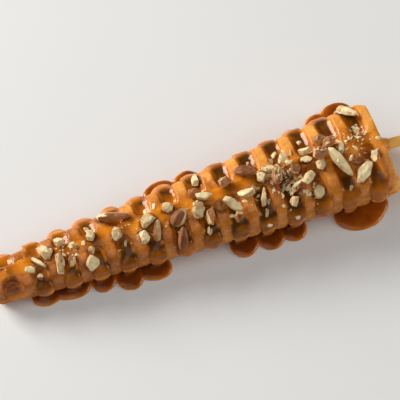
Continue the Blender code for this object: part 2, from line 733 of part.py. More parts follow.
def resting_height(thing, trees, x, y, rotation, size):
    """Lowest height at which a piece, with the gap round it, is clear of what lies below."""
    grow = [1.0 + 2.0 * GAP / length for length in size]
    corners = [rotation @ Vector([v.co[i] * grow[i] for i in range(3)])
               for v in thing.data.vertices]
    faces = [face.vertices for face in thing.data.polygons]
    step = 0.15 * MM
    height = 2.0 * BASE_HALF_HEIGHT + 0.5 * max(size) + 8.0 * MM
    while height > 0.0:
        place = Vector((x, y, height - step))
        shell = BVHTree.FromPolygons([place + corner for corner in corners], faces)
        if any(shell.overlap(tree) for tree in trees):
            return height
        height -= step
    return height


def lay(thing, x, y, height, rotation):
    thing.data.transform(Matrix.Translation((x, y, height)) @ rotation.to_4x4())


def place_x(place):
    return x_at(station_of_pocket(1) + (place - 1.0) * PITCH)


def chip(place, y, length, width, turn, chance, ground):
    """A small chip that has sunk a little into the caramel, clear of the waffle."""
    size = (length * MM, width * MM, 0.75 * width * MM)
    piece = nut("chip", "chunk", size, chance)
    x = place_x(place)
    rotation = turned_to(ground, x, y * MM, math.radians(turn), size)
    clear = resting_height(piece, ground[:1], x, y * MM, rotation, size)
    rest = resting_height(piece, ground, x, y * MM, rotation, size)
    lay(piece, x, y * MM, max(clear + CHIP_CLEAR, rest - SUNK), rotation)
    return piece


def make_almonds(below):
    chance = random.Random(5)
    trees = [surface_tree(thing) for thing in below]
    flesh = material("almond", (0.80, 0.62, 0.38), 0.6)
    for number, (place, y, length, width, thick, turn, shape) in enumerate(ALMONDS, 1):
        size = (length * MM, width * MM, thick * MM)
        piece = nut(f"almond_{number:02d}", shape, size, chance)
        x = place_x(place)
        rotation = turned_to(trees, x, y * MM, math.radians(turn), size)
        height = resting_height(piece, trees, x, y * MM, rotation, size)
        lay(piece, x, y * MM, height, rotation)
        trees.append(surface_tree(piece))
        dress(piece, flesh)


def main():
    for thing in list(bpy.data.objects):
        bpy.data.objects.remove(thing)
    waffle = make_waffle()
    make_stick()
    caramel = make_caramel(waffle)
    make_almonds([waffle, caramel])


main()
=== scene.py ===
"""Looks for the stick waffle: baked crust, pourable caramel, chopped almonds and a wooden stick.

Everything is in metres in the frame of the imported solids: +X runs from the tip of the waffle to
its stick, +Z is up, and the waffle lies on z = 0. The waffle, the almonds and the stick are made
from their solids. The caramel is shaped anew by the driving dimensions of its solid, which are
repeated below, and crumbs too small for solids are strewn over it all.
"""

import math
import random

import bmesh
import bpy
import numpy as np
from mathutils import Matrix, Vector
from mathutils.bvhtree import BVHTree


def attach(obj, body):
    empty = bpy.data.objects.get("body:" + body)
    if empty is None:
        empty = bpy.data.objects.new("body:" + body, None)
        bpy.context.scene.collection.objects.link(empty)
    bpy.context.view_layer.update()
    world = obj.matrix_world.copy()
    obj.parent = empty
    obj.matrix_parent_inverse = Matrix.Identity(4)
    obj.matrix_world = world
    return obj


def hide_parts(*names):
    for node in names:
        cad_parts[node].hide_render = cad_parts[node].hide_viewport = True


MM = 0.001
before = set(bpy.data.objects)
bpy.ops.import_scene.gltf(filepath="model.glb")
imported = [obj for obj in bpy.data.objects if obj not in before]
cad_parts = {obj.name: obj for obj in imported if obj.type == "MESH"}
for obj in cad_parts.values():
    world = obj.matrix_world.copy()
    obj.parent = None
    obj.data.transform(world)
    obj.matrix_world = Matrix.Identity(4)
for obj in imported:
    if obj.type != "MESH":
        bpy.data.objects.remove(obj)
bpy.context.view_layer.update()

# Driving sizes of the waffle.
PITCH = 17.8 * MM
POCKETS = 14
SECOND_POCKET_X = -97.9 * MM
FIRST_SHIFT = 1.5 * MM
FIRST_EXTRA = 0.9 * MM
TIP_X = -129.3 * MM
BASE_X = 126.5 * MM
TIP_HALF_WIDTH = 12.4 * MM
BASE_HALF_WIDTH = 31.0 * MM
TIP_HALF_HEIGHT = 10.4 * MM
BASE_HALF_HEIGHT = 22.2 * MM
SQUARENESS = 3.0
RIDGE_HALF = 3.0 * MM
FLASH = 1.5 * MM
POCKET_HALF_FLOOR = 4.2 * MM
DRAFT = 0.18
DEPTH_SHARE = 0.38
SILL_SHARE = 0.14

# The two sides, as the sign of y; the camera stands on the near one.
NEAR = -1.0
FAR = 1.0

# Patches of dark sauce and painted shade where the chopped almonds lie thickest: pocket, distance
# from the middle, reach along and across.
SHADE_AND_SAUCE_PATCHES = ((10.0, -8.0 * MM, 19.0 * MM, 15.0 * MM), (12.8, 3.5 * MM, 10.0 * MM, 10.0 * MM))
SAUCE_AND_SHADE_ROUND_NUTS = 3.0 * MM  # how far sauce gathers, and painted shade darkens, round an almond


def taper(at_tip, at_base, x):
    return at_tip + (at_base - at_tip) * (x - TIP_X) / (BASE_X - TIP_X)


def half_width(x):
    return taper(TIP_HALF_WIDTH, BASE_HALF_WIDTH, x)


def half_height(x):
    """Height of the parting line, where the two halves of the mould meet."""
    return taper(TIP_HALF_HEIGHT, BASE_HALF_HEIGHT, x)


def place_x(place):
    """x of a pocket's place; a fraction lies between two places."""
    return SECOND_POCKET_X + (place - 1.0) * PITCH


def pocket_x(index):
    """x of the middle of a pocket; the first one lies a little off its place."""
    return place_x(index) - (FIRST_SHIFT if index == 0 else 0.0)


def arch(y, width, height):
    """Height over the parting line, at y, of a flat-topped arch."""
    reach = np.clip((np.abs(y) - RIDGE_HALF) / (width - RIDGE_HALF), 0.0, 1.0)
    return height * (1.0 - reach ** SQUARENESS) ** (1.0 / SQUARENESS)


# -------- noise


def lattice(cells, seed):
    """One repeatable number in -1..1 for each whole-number place."""
    mixed = (cells[:, 0] * 73856093) ^ (cells[:, 1] * 19349663) ^ (cells[:, 2] * 83492791)
    mixed = (mixed ^ (seed * 2654435761)) & 0xFFFFFFFF
    mixed = ((mixed ^ (mixed >> 15)) * 2246822519) & 0xFFFFFFFF
    mixed = ((mixed ^ (mixed >> 13)) * 3266489917) & 0xFFFFFFFF
    return (mixed ^ (mixed >> 16)) / 2147483647.5 - 1.0


def noise(points, cell, seed):
    """Smooth noise in -1..1 with bumps about one cell across."""
    scaled = np.asarray(points, float) / cell
    base = np.floor(scaled).astype(np.int64)
    part = scaled - base
    part = part * part * (3.0 - 2.0 * part)
    total = np.zeros(len(scaled))
    for corner in range(8):
        step = np.array([corner & 1, (corner >> 1) & 1, corner >> 2])
        share = np.prod(np.where(step == 1, part, 1.0 - part), axis=1)
        total += share * lattice(base + step, seed)
    return total


def rough(points, cell, seed, octaves=3):
    """Noise of several sizes, each half as large and half as strong as the one before."""
    return sum(noise(points, cell / 2 ** k, seed + k) / 2 ** k for k in range(octaves))


def smoothstep(low, high, value):
    t = np.clip((value - low) / (high - low), 0.0, 1.0)
    return t * t * (3.0 - 2.0 * t)


# -------- mesh helpers


def link(name, data):
    thing = bpy.data.objects.new(name, data)
    bpy.context.scene.collection.objects.link(thing)
    return thing


def rows_of(items, key):
    """The same vector of each item, one to a row."""
    flat = np.empty(len(items) * 3)
    items.foreach_get(key, flat)
    return flat.reshape(-1, 3)


def places(mesh):
    return rows_of(mesh.vertices, "co")


def normals(mesh):
    return rows_of(mesh.vertex_normals, "vector")


def move_to(mesh, points):
    mesh.vertices.foreach_set("co", np.asarray(points, float).ravel())
    mesh.update()


def write(mesh, name, values):
    """Store one number a vertex for the shader."""
    made = mesh.attributes.new(name, "FLOAT", "POINT")
    made.data.foreach_set("value", np.asarray(values, np.float32))


def baked(thing):
    """Put a thing's modifiers into its mesh."""
    depsgraph = bpy.context.evaluated_depsgraph_get()
    mesh = bpy.data.meshes.new_from_object(thing.evaluated_get(depsgraph))
    old = thing.data
    thing.modifiers.clear()
    thing.data = mesh
    bpy.data.meshes.remove(old)
    return thing


def mesh_of(name, bm):
    """Turn a bmesh into a mesh."""
    mesh = bpy.data.meshes.new(name)
    bm.to_mesh(mesh)
    bm.free()
    return mesh


def joined(name, meshes):
    """One mesh object from several meshes, with their attributes."""
    bm = bmesh.new()
    for mesh in meshes:
        bm.from_mesh(mesh)
        bpy.data.meshes.remove(mesh)
    return link(name, mesh_of(name, bm))


def skinned(thing, voxel):
    """Put one fine even skin over all that a thing is made of."""
    skin = thing.modifiers.new("skin", "REMESH")
    skin.mode = "VOXEL"
    skin.voxel_size = voxel
    skin.adaptivity = 0.0
    return baked(thing)


def neighbour_mean(points, edges, count):
    """Mean place of the neighbours of each vertex; count is how many it has."""
    total = np.empty_like(points)
    for axis in range(3):
        total[:, axis] = (
            np.bincount(edges[:, 0], points[edges[:, 1], axis], len(points))
            + np.bincount(edges[:, 1], points[edges[:, 0], axis], len(points)))
    return total / count[:, None]


def edge_ends(mesh):
    edges = np.empty(len(mesh.edges) * 2, np.int64)
    mesh.edges.foreach_get("vertices", edges)
    return edges.reshape(-1, 2), np.bincount(edges, minlength=len(mesh.vertices)).astype(float)


def softened(mesh, values, rounds):
    """Spread a number of each vertex to those round it."""
    edges, count = edge_ends(mesh)
    column = np.repeat(values[:, None], 3, axis=1)
    for _ in range(rounds):
        column = 0.5 * column + 0.5 * neighbour_mean(column, edges, count)
    return column[:, 0]


def relaxed(mesh, rounds, give=0.5, back=0.53):
    """Round off facets and sharp edges; with the larger step back, the volume is kept."""
    points = places(mesh)
    edges, count = edge_ends(mesh)
    for _ in range(rounds):
        points = points + give * (neighbour_mean(points, edges, count) - points)
        points = points - back * (neighbour_mean(points, edges, count) - points)
    hollow = neighbour_mean(points, edges, count) - points
    move_to(mesh, points)
    return points, hollow


def tree_of(*things):
    """The surfaces of several things, for finding what lies near a point."""
    vertices = []
    faces = []
    for thing in things:
        first = len(vertices)
        vertices.extend(v.co.copy() for v in thing.data.vertices)
        faces.extend([first + i for i in face.vertices] for face in thing.data.polygons)
    return BVHTree.FromPolygons(vertices, faces)


def nearness(points, tree, reach):
    """1 where a point lies against a thing, and 0 past the reach."""
    gaps = [tree.find_nearest(Vector(point), reach)[3] for point in points]
    gaps = np.array([reach if gap is None else gap for gap in gaps])
    return smoothstep(reach, 0.0, gaps)


def sauce_and_shade_patch_share(x, y):
    """1 in the patches of dark sauce and painted shade under the densest heaps of chopped almonds,
    fading to 0 round them.
    """
    away = [np.hypot((x - place_x(place)) / along, (y - middle) / across)
            for place, middle, along, across in SHADE_AND_SAUCE_PATCHES]
    return smoothstep(1.0, 0.4, np.min(away, axis=0))


def loft(name, rings):
    """A closed surface through rings of the same number of points."""
    count = len(rings[0])
    faces = [range(count)[::-1], range((len(rings) - 1) * count, len(rings) * count)]
    for k in range(len(rings) - 1):
        for i in range(count):
            j = (i + 1) % count
            faces.append((k * count + i, k * count + j, (k + 1) * count + j, (k + 1) * count + i))
    mesh = bpy.data.meshes.new(name)
    mesh.from_pydata([tuple(point) for ring in rings for point in ring], [],
                     [tuple(face) for face in faces])
    return mesh


def turns(count):
    """Angles that go once round in even steps."""
    return [2.0 * math.pi * i / count for i in range(count)]


def painted(thing, material, sharp=None):
    """Give a thing its material and smooth shading, with edges over the sharp angle kept."""
    thing.data.materials.clear()
    thing.data.materials.append(material)
    thing.data.shade_smooth()
    if sharp is not None:
        thing.data.set_sharp_from_angle(angle=math.radians(sharp))


# -------- shader helpers


class Shader:
    """A material with one Principled shader, and short ways to add nodes to it."""

    def __init__(self, name):
        self.material = bpy.data.materials.new(name)
        self.material.use_nodes = True
        self.tree = self.material.node_tree
        self.main = self.tree.nodes["Principled BSDF"]
        self.object_space = self.add("ShaderNodeTexCoord").outputs["Object"]

    def add(self, kind, inputs=None, **settings):
        """A node with its settings, and with its inputs set or linked by name or number."""
        made = self.tree.nodes.new(kind)
        for key, value in settings.items():
            setattr(made, key, value)
        for key, value in (inputs or {}).items():
            self.put(made.inputs[key], value)
        return made

    def put(self, socket, value):
        if isinstance(value, bpy.types.NodeSocket):
            self.tree.links.new(value, socket)
        elif isinstance(value, tuple) and len(value) == 3 and socket.type == "RGBA":
            socket.default_value = (*value, 1.0)
        else:
            socket.default_value = value

    def set(self, **values):
        for key, value in values.items():
            self.put(self.main.inputs[key.replace("_", " ")], value)

    def stored(self, name):
        return self.add("ShaderNodeAttribute", attribute_name=name).outputs["Fac"]

    def noise(self, size, detail, roughness=0.55, distortion=0.0, stretch=(1.0, 1.0, 1.0)):
        """Noise with features about one size across."""
        mapping = self.add("ShaderNodeMapping", {"Vector": self.object_space, "Scale": stretch})
        made = self.add("ShaderNodeTexNoise", {
            "Vector": mapping.outputs["Vector"], "Scale": 1.0 / size, "Detail": detail,
            "Roughness": roughness, "Distortion": distortion})
        return made.outputs["Fac"]

    def cells(self, size):
        made = self.add("ShaderNodeTexVoronoi", {"Vector": self.object_space, "Scale": 1.0 / size})
        return made.outputs["Distance"]

    def maths(self, operation, a, b, clamp=False):
        made = self.add("ShaderNodeMath", {0: a, 1: b}, operation=operation, use_clamp=clamp)
        return made.outputs[0]

    def ramp(self, factor, *stops):
        made = self.add("ShaderNodeValToRGB")
        band = made.color_ramp
        while len(band.elements) < len(stops):
            band.elements.new(0.5)
        for element, (position, colour) in zip(band.elements, stops):
            element.position = position
            element.color = (*colour, 1.0)
        self.put(made.inputs["Fac"], factor)
        return made.outputs["Color"]

    def range(self, value, low, high, to_low=0.0, to_high=1.0):
        made = self.add("ShaderNodeMapRange", {"Value": value, "From Min": low, "From Max": high,
                                               "To Min": to_low, "To Max": to_high})
        return made.outputs["Result"]

    def mix(self, factor, a, b):
        """One colour over another; a mix node keeps its colours in inputs 6 and 7."""
        made = self.add("ShaderNodeMix", {0: factor, 6: a, 7: b}, data_type="RGBA")
        return made.outputs[2]

    def bump(self, height, depth, strength):
        made = self.add("ShaderNodeBump", {"Height": height, "Distance": depth, "Strength": strength})
        self.put(self.main.inputs["Normal"], made.outputs["Normal"])


# -------- the waffle

PALE_DOUGH = (0.92, 0.55, 0.18)
GOLDEN = (0.90, 0.375, 0.050)
BAKED = (0.66, 0.220, 0.027)
DARK_BAKED = (0.38, 0.100, 0.013)
GLAZED = ((0.90, 0.35, 0.030), (0.63, 0.190, 0.014), (0.24, 0.058, 0.005))


def crust_material():
    s = Shader("baked crust")
    brown = s.stored("brown")
    glaze = s.stored("glaze")
    broad = s.noise(9.0 * MM, 3.0)
    fine = s.noise(1.4 * MM, 4.0, 0.65)
    tone = s.maths("ADD", brown, s.range(broad, 0.3, 0.7, -0.16, 0.16))
    tone = s.maths("ADD", tone, s.range(fine, 0.3, 0.7, -0.14, 0.14), clamp=True)
    crust = s.ramp(tone, (0.0, PALE_DOUGH), (0.34, GOLDEN), (0.66, BAKED), (1.0, DARK_BAKED))
    glazed = s.ramp(tone, *zip((0.0, 0.5, 1.0), GLAZED))
    s.set(Base_Color=s.mix(glaze, crust, glazed), IOR=1.46, Subsurface_Weight=0.08,
          Subsurface_Scale=1.0 * MM)
    s.set(Subsurface_Radius=(1.0, 0.5, 0.22))
    dry = s.range(fine, 0.3, 0.7, 0.48, 0.66)
    s.set(Roughness=s.maths("ADD", s.maths("MULTIPLY", dry, s.maths("SUBTRACT", 1.0, glaze)),
                            s.maths("MULTIPLY", glaze, s.range(broad, 0.35, 0.65, 0.12, 0.30))))
    pores = s.range(s.cells(0.9 * MM), 0.0, 0.35)
    s.bump(s.maths("ADD", s.maths("MULTIPLY", pores, 0.5), fine), 0.18 * MM, 0.75)
    return s.material


CRUST_VOXEL = 0.80 * MM
# Crags of the crust, broad and fine: size, height and seed.
CRAGS = ((5.0 * MM, 0.16 * MM, 3), (1.6 * MM, 0.07 * MM, 9))
PIT_SIZE = 2.1 * MM         # pits left by air bubbles
PIT_DEPTH = 0.35 * MM
RAGGED_SIZE = 2.2 * MM      # nicks in the flash line
RAGGED_DEPTH = 0.5 * MM
STICK_Y = 1.2 * MM
STICK_INSIDE = 135.0 * MM   # from the base end; the crust in the stick's bore stays smooth
STICK_ROOM = 4.4 * MM
# How much each cause browns or darkens the crust, where 0 is pale dough and 1 is dark; the faces
# turned towards -y are darkened as painted shade, and round the almonds it is partly painted shade.
BROWN = {
    "plain": 0.38, "edges": 0.14, "blotches": 0.10, "painted shade on near side": 0.14, "flash": -0.08,
    "narrow end": 0.26, "pocket floors": 0.30, "base end": -0.22, "sauce and painted shade": 0.80, "pits": 0.14,
}
RIDGE_GLAZE = 9.0 * MM      # how far the thin coat spreads from the middle
RIDGE_GLAZE_WANDER = 6.0 * MM
RIB_GLAZE = {NEAR: 0.75, FAR: 0.35}  # more has run over the near side than over the far one
NEAR_GLAZE = 0.8


def flash_share(points):
    """1 on the flash line, and 0 off it."""
    x, y, z = points.T
    level = smoothstep(1.9 * MM, 1.0 * MM, np.abs(z - half_height(x)))
    return level * (np.abs(y) > half_width(x) - 0.3 * MM)


def crust_relief(points, pits, at_flash):
    """Height of the crags, pits and ragged flash line over the plain crust."""
    x, y, z = points.T
    relief = sum(height * rough(points, size, seed) for size, height, seed in CRAGS)
    relief -= PIT_DEPTH * pits
    relief += RAGGED_DEPTH * at_flash * noise(points * [1.0, 0.2, 0.2], RAGGED_SIZE, 33)
    # The lower side and the stick's bore stay true.
    off_axis = np.hypot(y - STICK_Y, z - half_height(x))
    near_stick = (x > BASE_X - STICK_INSIDE) & (off_axis < STICK_ROOM)
    return relief * smoothstep(0.0, 1.0 * MM, z) * np.where(near_stick, 0.0, 1.0)


def browning(points, out, hollow, pits, at_flash, sauced_and_shaded):
    """How dark each spot of crust is, from 0 to 1: from baking, from sauce, and from painted shade.
    """
    x, y, z = points.T
    over = z - half_height(x)
    # Outer edges and ribs take more heat than hollows.
    bulge = -np.einsum("ij,ij->i", hollow, out) / (0.06 * MM)
    floors = smoothstep(1.0 * MM, 4.0 * MM, arch(y, half_width(x), half_height(x)) - over)
    floors *= smoothstep(1.0 * MM, 3.0 * MM, over)
    floors *= smoothstep(BASE_X - 1.0 * MM, BASE_X - 3.0 * MM, x)
    shares = {
        "plain": 1.0,
        "edges": np.clip(bulge, -1.0, 1.0),
        "blotches": rough(points, 14.0 * MM, 40),
        # painted shade on faces turned towards -y
        "painted shade on near side": smoothstep(0.0, 0.75, -out[:, 1] * (y < 0.0)),
        "flash": at_flash,
        "narrow end": smoothstep(40.0 * MM, -80.0 * MM, x),
        "pocket floors": floors,
        "base end": smoothstep(BASE_X - 1.0 * MM, BASE_X + 1.0 * MM, x),
        # sauce round the almonds and under their heaps, with painted shade there
        "sauce and painted shade": sauced_and_shaded,
        "pits": pits,
    }
    return np.clip(sum(BROWN[cause] * share for cause, share in shares.items()), 0.0, 1.0)


def glazing(points, out, at_flash, sauced_and_shaded):
    """How thickly a film of caramel coats the crust, from 0 to 1."""
    x, y, z = points.T
    over = z - half_height(x)
    faces_up = out[:, 2]
    streak = rough(points * [1.0, 0.35, 0.35], 7.0 * MM, 51)
    # It lies over the ridge and runs along the ribs.
    reach = RIDGE_GLAZE + RIDGE_GLAZE_WANDER * streak
    glaze = smoothstep(3.0 * MM, -3.0 * MM, np.abs(y) - reach) * smoothstep(-0.2, 0.4, faces_up)
    runs = smoothstep(0.25, 0.55, streak) * (faces_up > -0.2)
    glaze = np.maximum(glaze, np.where(y > 0.0, RIB_GLAZE[FAR], RIB_GLAZE[NEAR]) * runs)
    glaze *= smoothstep(0.0, 3.0 * MM, over)
    # It covers most of the near side, and little of the base end.
    near = smoothstep(-3.0 * MM, -9.0 * MM, y) * smoothstep(-1.0, -0.3, streak)
    near *= smoothstep(BASE_X - 4.0 * MM, BASE_X - 14.0 * MM, x)
    glaze = np.maximum(glaze, NEAR_GLAZE * near * smoothstep(-6.0 * MM, -2.0 * MM, over))
    glaze *= 1.0 - 0.4 * at_flash
    # Round the almonds and under their heaps the crust is glazed, along with the painted shade there.
    return np.clip(np.maximum(glaze, sauced_and_shaded), 0.0, 1.0)


def make_waffle(nut_tree):
    waffle = skinned(link("waffle_crust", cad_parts["waffle"].data.copy()), CRUST_VOXEL)
    mesh = waffle.data
    points, hollow = relaxed(mesh, 6, 0.5, 0.42)
    out = normals(mesh)
    x, y, z = points.T
    pits = smoothstep(0.52, 0.8, noise(points, PIT_SIZE, 21))
    at_flash = flash_share(points)
    move_to(mesh, points + out * crust_relief(points, pits, at_flash)[:, None])
    # Sauce gathers round the almonds and under their heaps, darkening and glazing the crust there,
    # and painted shade darkens it as well.
    patch_sauce_and_shade = 0.6 * sauce_and_shade_patch_share(x, y) * (z > half_height(x))
    sauced_and_shaded = np.maximum(nearness(points, nut_tree, SAUCE_AND_SHADE_ROUND_NUTS), patch_sauce_and_shade)
    write(mesh, "brown", browning(points, out, hollow, pits, at_flash, sauced_and_shaded))
    write(mesh, "glaze", glazing(points, out, at_flash, sauced_and_shaded))
    painted(waffle, crust_material())
    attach(waffle, "root")
    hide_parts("waffle")
    return waffle


# -------- the caramel

THIN_CARAMEL = (0.78, 0.270, 0.020)
AMBER = (0.56, 0.160, 0.008)
DEEP_CARAMEL = (0.34, 0.096, 0.005)
DARK_CARAMEL = (0.095, 0.031, 0.003)
PUDDLE_CARAMEL = ((0.70, 0.215, 0.013), (0.41, 0.096, 0.005), (0.19, 0.038, 0.003))


def caramel_material():
    s = Shader("caramel")
    depth = s.stored("depth")
    cloudy = s.noise(5.0 * MM, 2.0)
    tone = s.maths("ADD", depth, s.range(cloudy, 0.3, 0.7, -0.06, 0.06), clamp=True)
    sauce = s.ramp(tone, (0.05, THIN_CARAMEL), (0.30, AMBER), (0.58, DEEP_CARAMEL),
                   (0.88, DARK_CARAMEL))
    pools = s.ramp(tone, *zip((0.05, 0.4, 0.9), PUDDLE_CARAMEL))
    s.set(Base_Color=s.mix(s.stored("low"), sauce, pools), Roughness=0.09, IOR=1.40)
    s.set(Specular_IOR_Level=0.40, Subsurface_Weight=0.10, Subsurface_Scale=1.5 * MM)
    s.set(Subsurface_Radius=(1.0, 0.4, 0.12))
    s.bump(s.noise(3.5 * MM, 1.0), 0.10 * MM, 0.25)
    return s.material


CARAMEL_VOXEL = 0.5 * MM
EMPTY_POCKETS = {(0, NEAR)}

# Fillings of the pockets.
FILL_SHARE = 0.34           # of the pocket's depth
FILLING_RINGS = 38
ACROSS = 17                 # points over the width of a filling's surface
CLIMB_SHARE = 0.9           # of the pocket's round inner end has sauce on it,
POOL_SHARE = 0.45           # and in this share of that the sauce is still level
LEVEL_SHARE = 0.34          # of a filling's half width; past it the sauce is drawn up
DRAWN_UP = ((0.30, 0.45), (0.56, 0.66))  # slopes up the wall towards the tip and the base
TILT = 0.04
LIP_OUT = 1.3 * MM          # how far a filling reaches past the flash, into its bead
LIP_ROUND = 1.6 * MM        # how far its sides sink there
EMBED = 1.0 * MM            # how far sauce reaches into the crust, out of sight

# Beads over the flash.
DRIP_OUT = {NEAR: 2.3 * MM, FAR: 3.6 * MM}
DRIP_HALF = {NEAR: 5.9 * MM, FAR: 7.8 * MM}
DRIP_SIZES = (0.92, 1.08)
DRIP_REACHES = (0.8, 1.2)
DRIP_BEHIND = 2.6 * MM      # how far a bead's centre lies behind the flash
DRIP_RISE = 0.4 * MM        # over the parting line

# Runs down the lower side: their pockets.
RUNS = {NEAR: (1, 2, 3, 4, 5, 8, 9, 10, 12), FAR: (6, 7, 12)}
# Share of the height over the floor, and half length in mm.
RUN_RINGS = ((0.0, 6.0), (0.15, 4.6), (0.4, 4.1), (0.7, 4.2), (0.95, 5.0))
RUN_HALF_ACROSS = 2.4 * MM
RUN_SIDES = 24

# Puddles: side, pocket, and reach past the flash, half length and half width in mm.
PUDDLES = (
    (NEAR, 1.05, 4.0, 11.0, 7.5), (NEAR, 1.95, 5.0, 11.5, 8.5), (NEAR, 3.05, 5.0, 8.5, 8.0),
    (NEAR, 3.95, 9.0, 8.5, 9.5), (NEAR, 4.90, 7.0, 10.5, 9.0), (NEAR, 8.15, 6.5, 10.0, 9.5),
    (NEAR, 9.10, 6.5, 9.0, 9.0), (NEAR, 10.0, 5.0, 8.5, 8.5), (NEAR, 12.5, 8.8, 18.5, 13.0),
    (FAR, 6.05, 15.0, 12.0, 11.5), (FAR, 7.10, 14.5, 10.0, 11.0), (FAR, 12.4, 16.5, 11.5, 12.5),
    (FAR, 13.15, 19.6, 11.0, 9.0),
)
PUDDLE_SIDES = 72
# Height, and how far in from the outline, in mm.
PUDDLE_RINGS = ((0.0, 0.15), (0.5, 0.0), (1.1, 0.15), (1.7, 0.7), (2.2, 1.6), (2.6, 3.0), (2.85, 4.8))

# Coat on the ridge.
COAT_STEP = 0.8 * MM
COAT_POINTS = 25            # over its width
COAT_HALF = 4.2 * MM
COAT_SPREAD = 2.6           # mm; the most that it reaches further down a rib
COAT_ENDS = 3.5 * MM        # before the base end,
COAT_FADES = 9.0 * MM       # and it thins out from here
COAT_UNDER = 1.6 * MM       # how far its lower side lies under its upper one

# How dark the sauce is, where 0 is thin and 1 is deep; part of the darkness is painted shade.
DEEPEST = 9.0 * MM          # its depth is measured up to here
DEPTHS = (0.1 * MM, 4.2 * MM)
PUDDLE_BELOW = (6.5 * MM, 4.0 * MM)  # sauce from here down belongs to a puddle
PUDDLE_DEPTHS = (1.0 * MM, 3.4 * MM)
LIP_LIGHTER = {NEAR: 0.5, FAR: 0.75}
NEAR_ROW_SHADE = ((-8.0 * MM, 8.0 * MM), (1.25, 0.95))  # painted shade: darker over the near row, a little lighter over the far one,
LESS_ROW_SHADE_AT_BASE = 0.36         # but less of it in the near pockets at the base
ROW_SHADE_EASES_FROM = (60.0 * MM, 100.0 * MM)
ON_RIDGE = 0.14             # the coat everywhere,
BETWEEN_RIBS = 0.36         # where it pools between the ribs,
IN_BLOTCHES = 0.36          # and in blotches
# darker still under the heaps of almonds, partly as painted shade
SAUCE_AND_SHADE_UNDER_NUTS = 0.72
DEPTH_ROUNDS = 10
DEPTH_MOTTLE = 0.18


def filling(index, side, chance):
    """Sauce in a pocket: hollow between the walls, drawn up at the inner end, out over the sill."""
    x = pocket_x(index)
    middle = half_height(x)
    depth = DEPTH_SHARE * middle
    width = half_width(x)
    half_floor = POCKET_HALF_FLOOR + (FIRST_EXTRA if index == 0 else 0.0)
    # The pocket is round from the bend inwards.
    bend = RIDGE_HALF + half_floor + DRAFT * depth
    climb_end = CLIMB_SHARE * (half_floor + DRAFT * depth)
    pool_end = POOL_SHARE * climb_end
    level_height = middle - (1.0 - FILL_SHARE) * depth
    slopes = [chance.uniform(*limits) for limits in DRAWN_UP]
    tilt = chance.uniform(-TILT, TILT)
    lip = width + FLASH + LIP_OUT
    rings = []
    for y in np.linspace(bend - climb_end, lip - 0.15 * MM, FILLING_RINGS):
        past = max(bend - y, 0.0)
        climb = max(past - pool_end, 0.0) / (climb_end - pool_end)
        level = arch(y, lip, level_height)
        level += (middle + 0.5 * MM - level) * climb ** 1.2
        floor = max(arch(y, width - 0.55 * depth, middle - depth),
                    SILL_SHARE * middle * smoothstep(width + 0.5 * MM, width - 1.0 * MM, y))
        over = max(level - floor, 0.0)
        half = math.sqrt(max((half_floor + DRAFT * over) ** 2 - past ** 2, (0.6 * MM) ** 2))
        # 1 where the sauce lies between walls, 0 where it runs out over the sill.
        between = smoothstep(0.5 * MM, 2.5 * MM, arch(y, width, middle) - level)
        embed = EMBED * between
        low = middle + min(floor - EMBED, level - 0.5 * MM)
        ring = [(x - half - embed, side * y, low), (x + half + embed, side * y, low)]
        for k in range(ACROSS):
            across = 1.0 - 2.0 * k / (ACROSS - 1)
            place = across * (half + embed)
            past_level = max(abs(place) - LEVEL_SHARE * half, 0.0)
            drawn = slopes[int(across > 0.0)] * past_level ** 2 / (past_level + 1.0 * MM)
            drawn *= between * (1.0 - climb)
            drawn -= LIP_ROUND * (1.0 - between) * (abs(place) / half) ** 4
            ring.append((x + place, side * y, middle + level + drawn + tilt * place))
        rings.append(ring)
    return loft("filling", rings)


def drip(index, side, chance):
    """The rounded bead that hangs over the flash at the outer end of a pocket."""
    x = pocket_x(index)
    size = chance.uniform(*DRIP_SIZES)
    reach = DRIP_OUT[side] * chance.uniform(*DRIP_REACHES)
    middle = half_height(x)
    thick = DRIP_BEHIND + reach
    centre = (x + chance.uniform(-0.5, 0.5) * MM,
              side * (half_width(x) + FLASH + reach - thick), middle + DRIP_RISE)
    radii = (DRIP_HALF[side] * size, thick, (1.8 * MM + 0.15 * middle) * size)
    bm = bmesh.new()
    bmesh.ops.create_uvsphere(bm, u_segments=32, v_segments=18, radius=1.0)
    bmesh.ops.scale(bm, vec=radii, verts=bm.verts)
    bmesh.ops.translate(bm, vec=centre, verts=bm.verts)
    return mesh_of("drip", bm)


def run_down(side, index):
    """Sauce that runs down the lower side to the floor."""
    x = place_x(index)
    middle = half_height(x)
    rings = []
    for share, half_length in RUN_RINGS:
        below = 1.0 - share
        wall = half_width(x) * (1.0 - below ** SQUARENESS) ** (1.0 / SQUARENESS)
        # It stands just off the wall, with its foot well out from under the waffle.
        y = side * max(wall + 0.6 * MM, 0.82 * half_width(x))
        rings.append([(x + half_length * MM * math.cos(angle),
                       y + RUN_HALF_ACROSS * math.sin(angle), 0.3 * MM + share * middle)
                      for angle in turns(RUN_SIDES)])
    return loft("run", rings)


def puddle(side, place, reach, half_length, half_across, chance):
    """Sauce on the floor, with a rounded rim and an uneven outline."""
    x = place_x(place)
    y = side * (half_width(x) + FLASH + (reach - half_across) * MM)
    lean = chance.uniform(0.0, 2.0 * math.pi)
    rings = []
    for z, inset in PUDDLE_RINGS:
        ring = []
        for angle in turns(PUDDLE_SIDES):
            swell = 1.0 + 0.035 * math.sin(2.0 * angle + lean) + 0.025 * math.sin(3.0 * angle - lean)
            ring.append((x + (half_length * swell - inset) * MM * math.cos(angle),
                         y + (half_across * swell - inset) * MM * math.sin(angle), z * MM))
        rings.append(ring)
    return loft("puddle", rings)


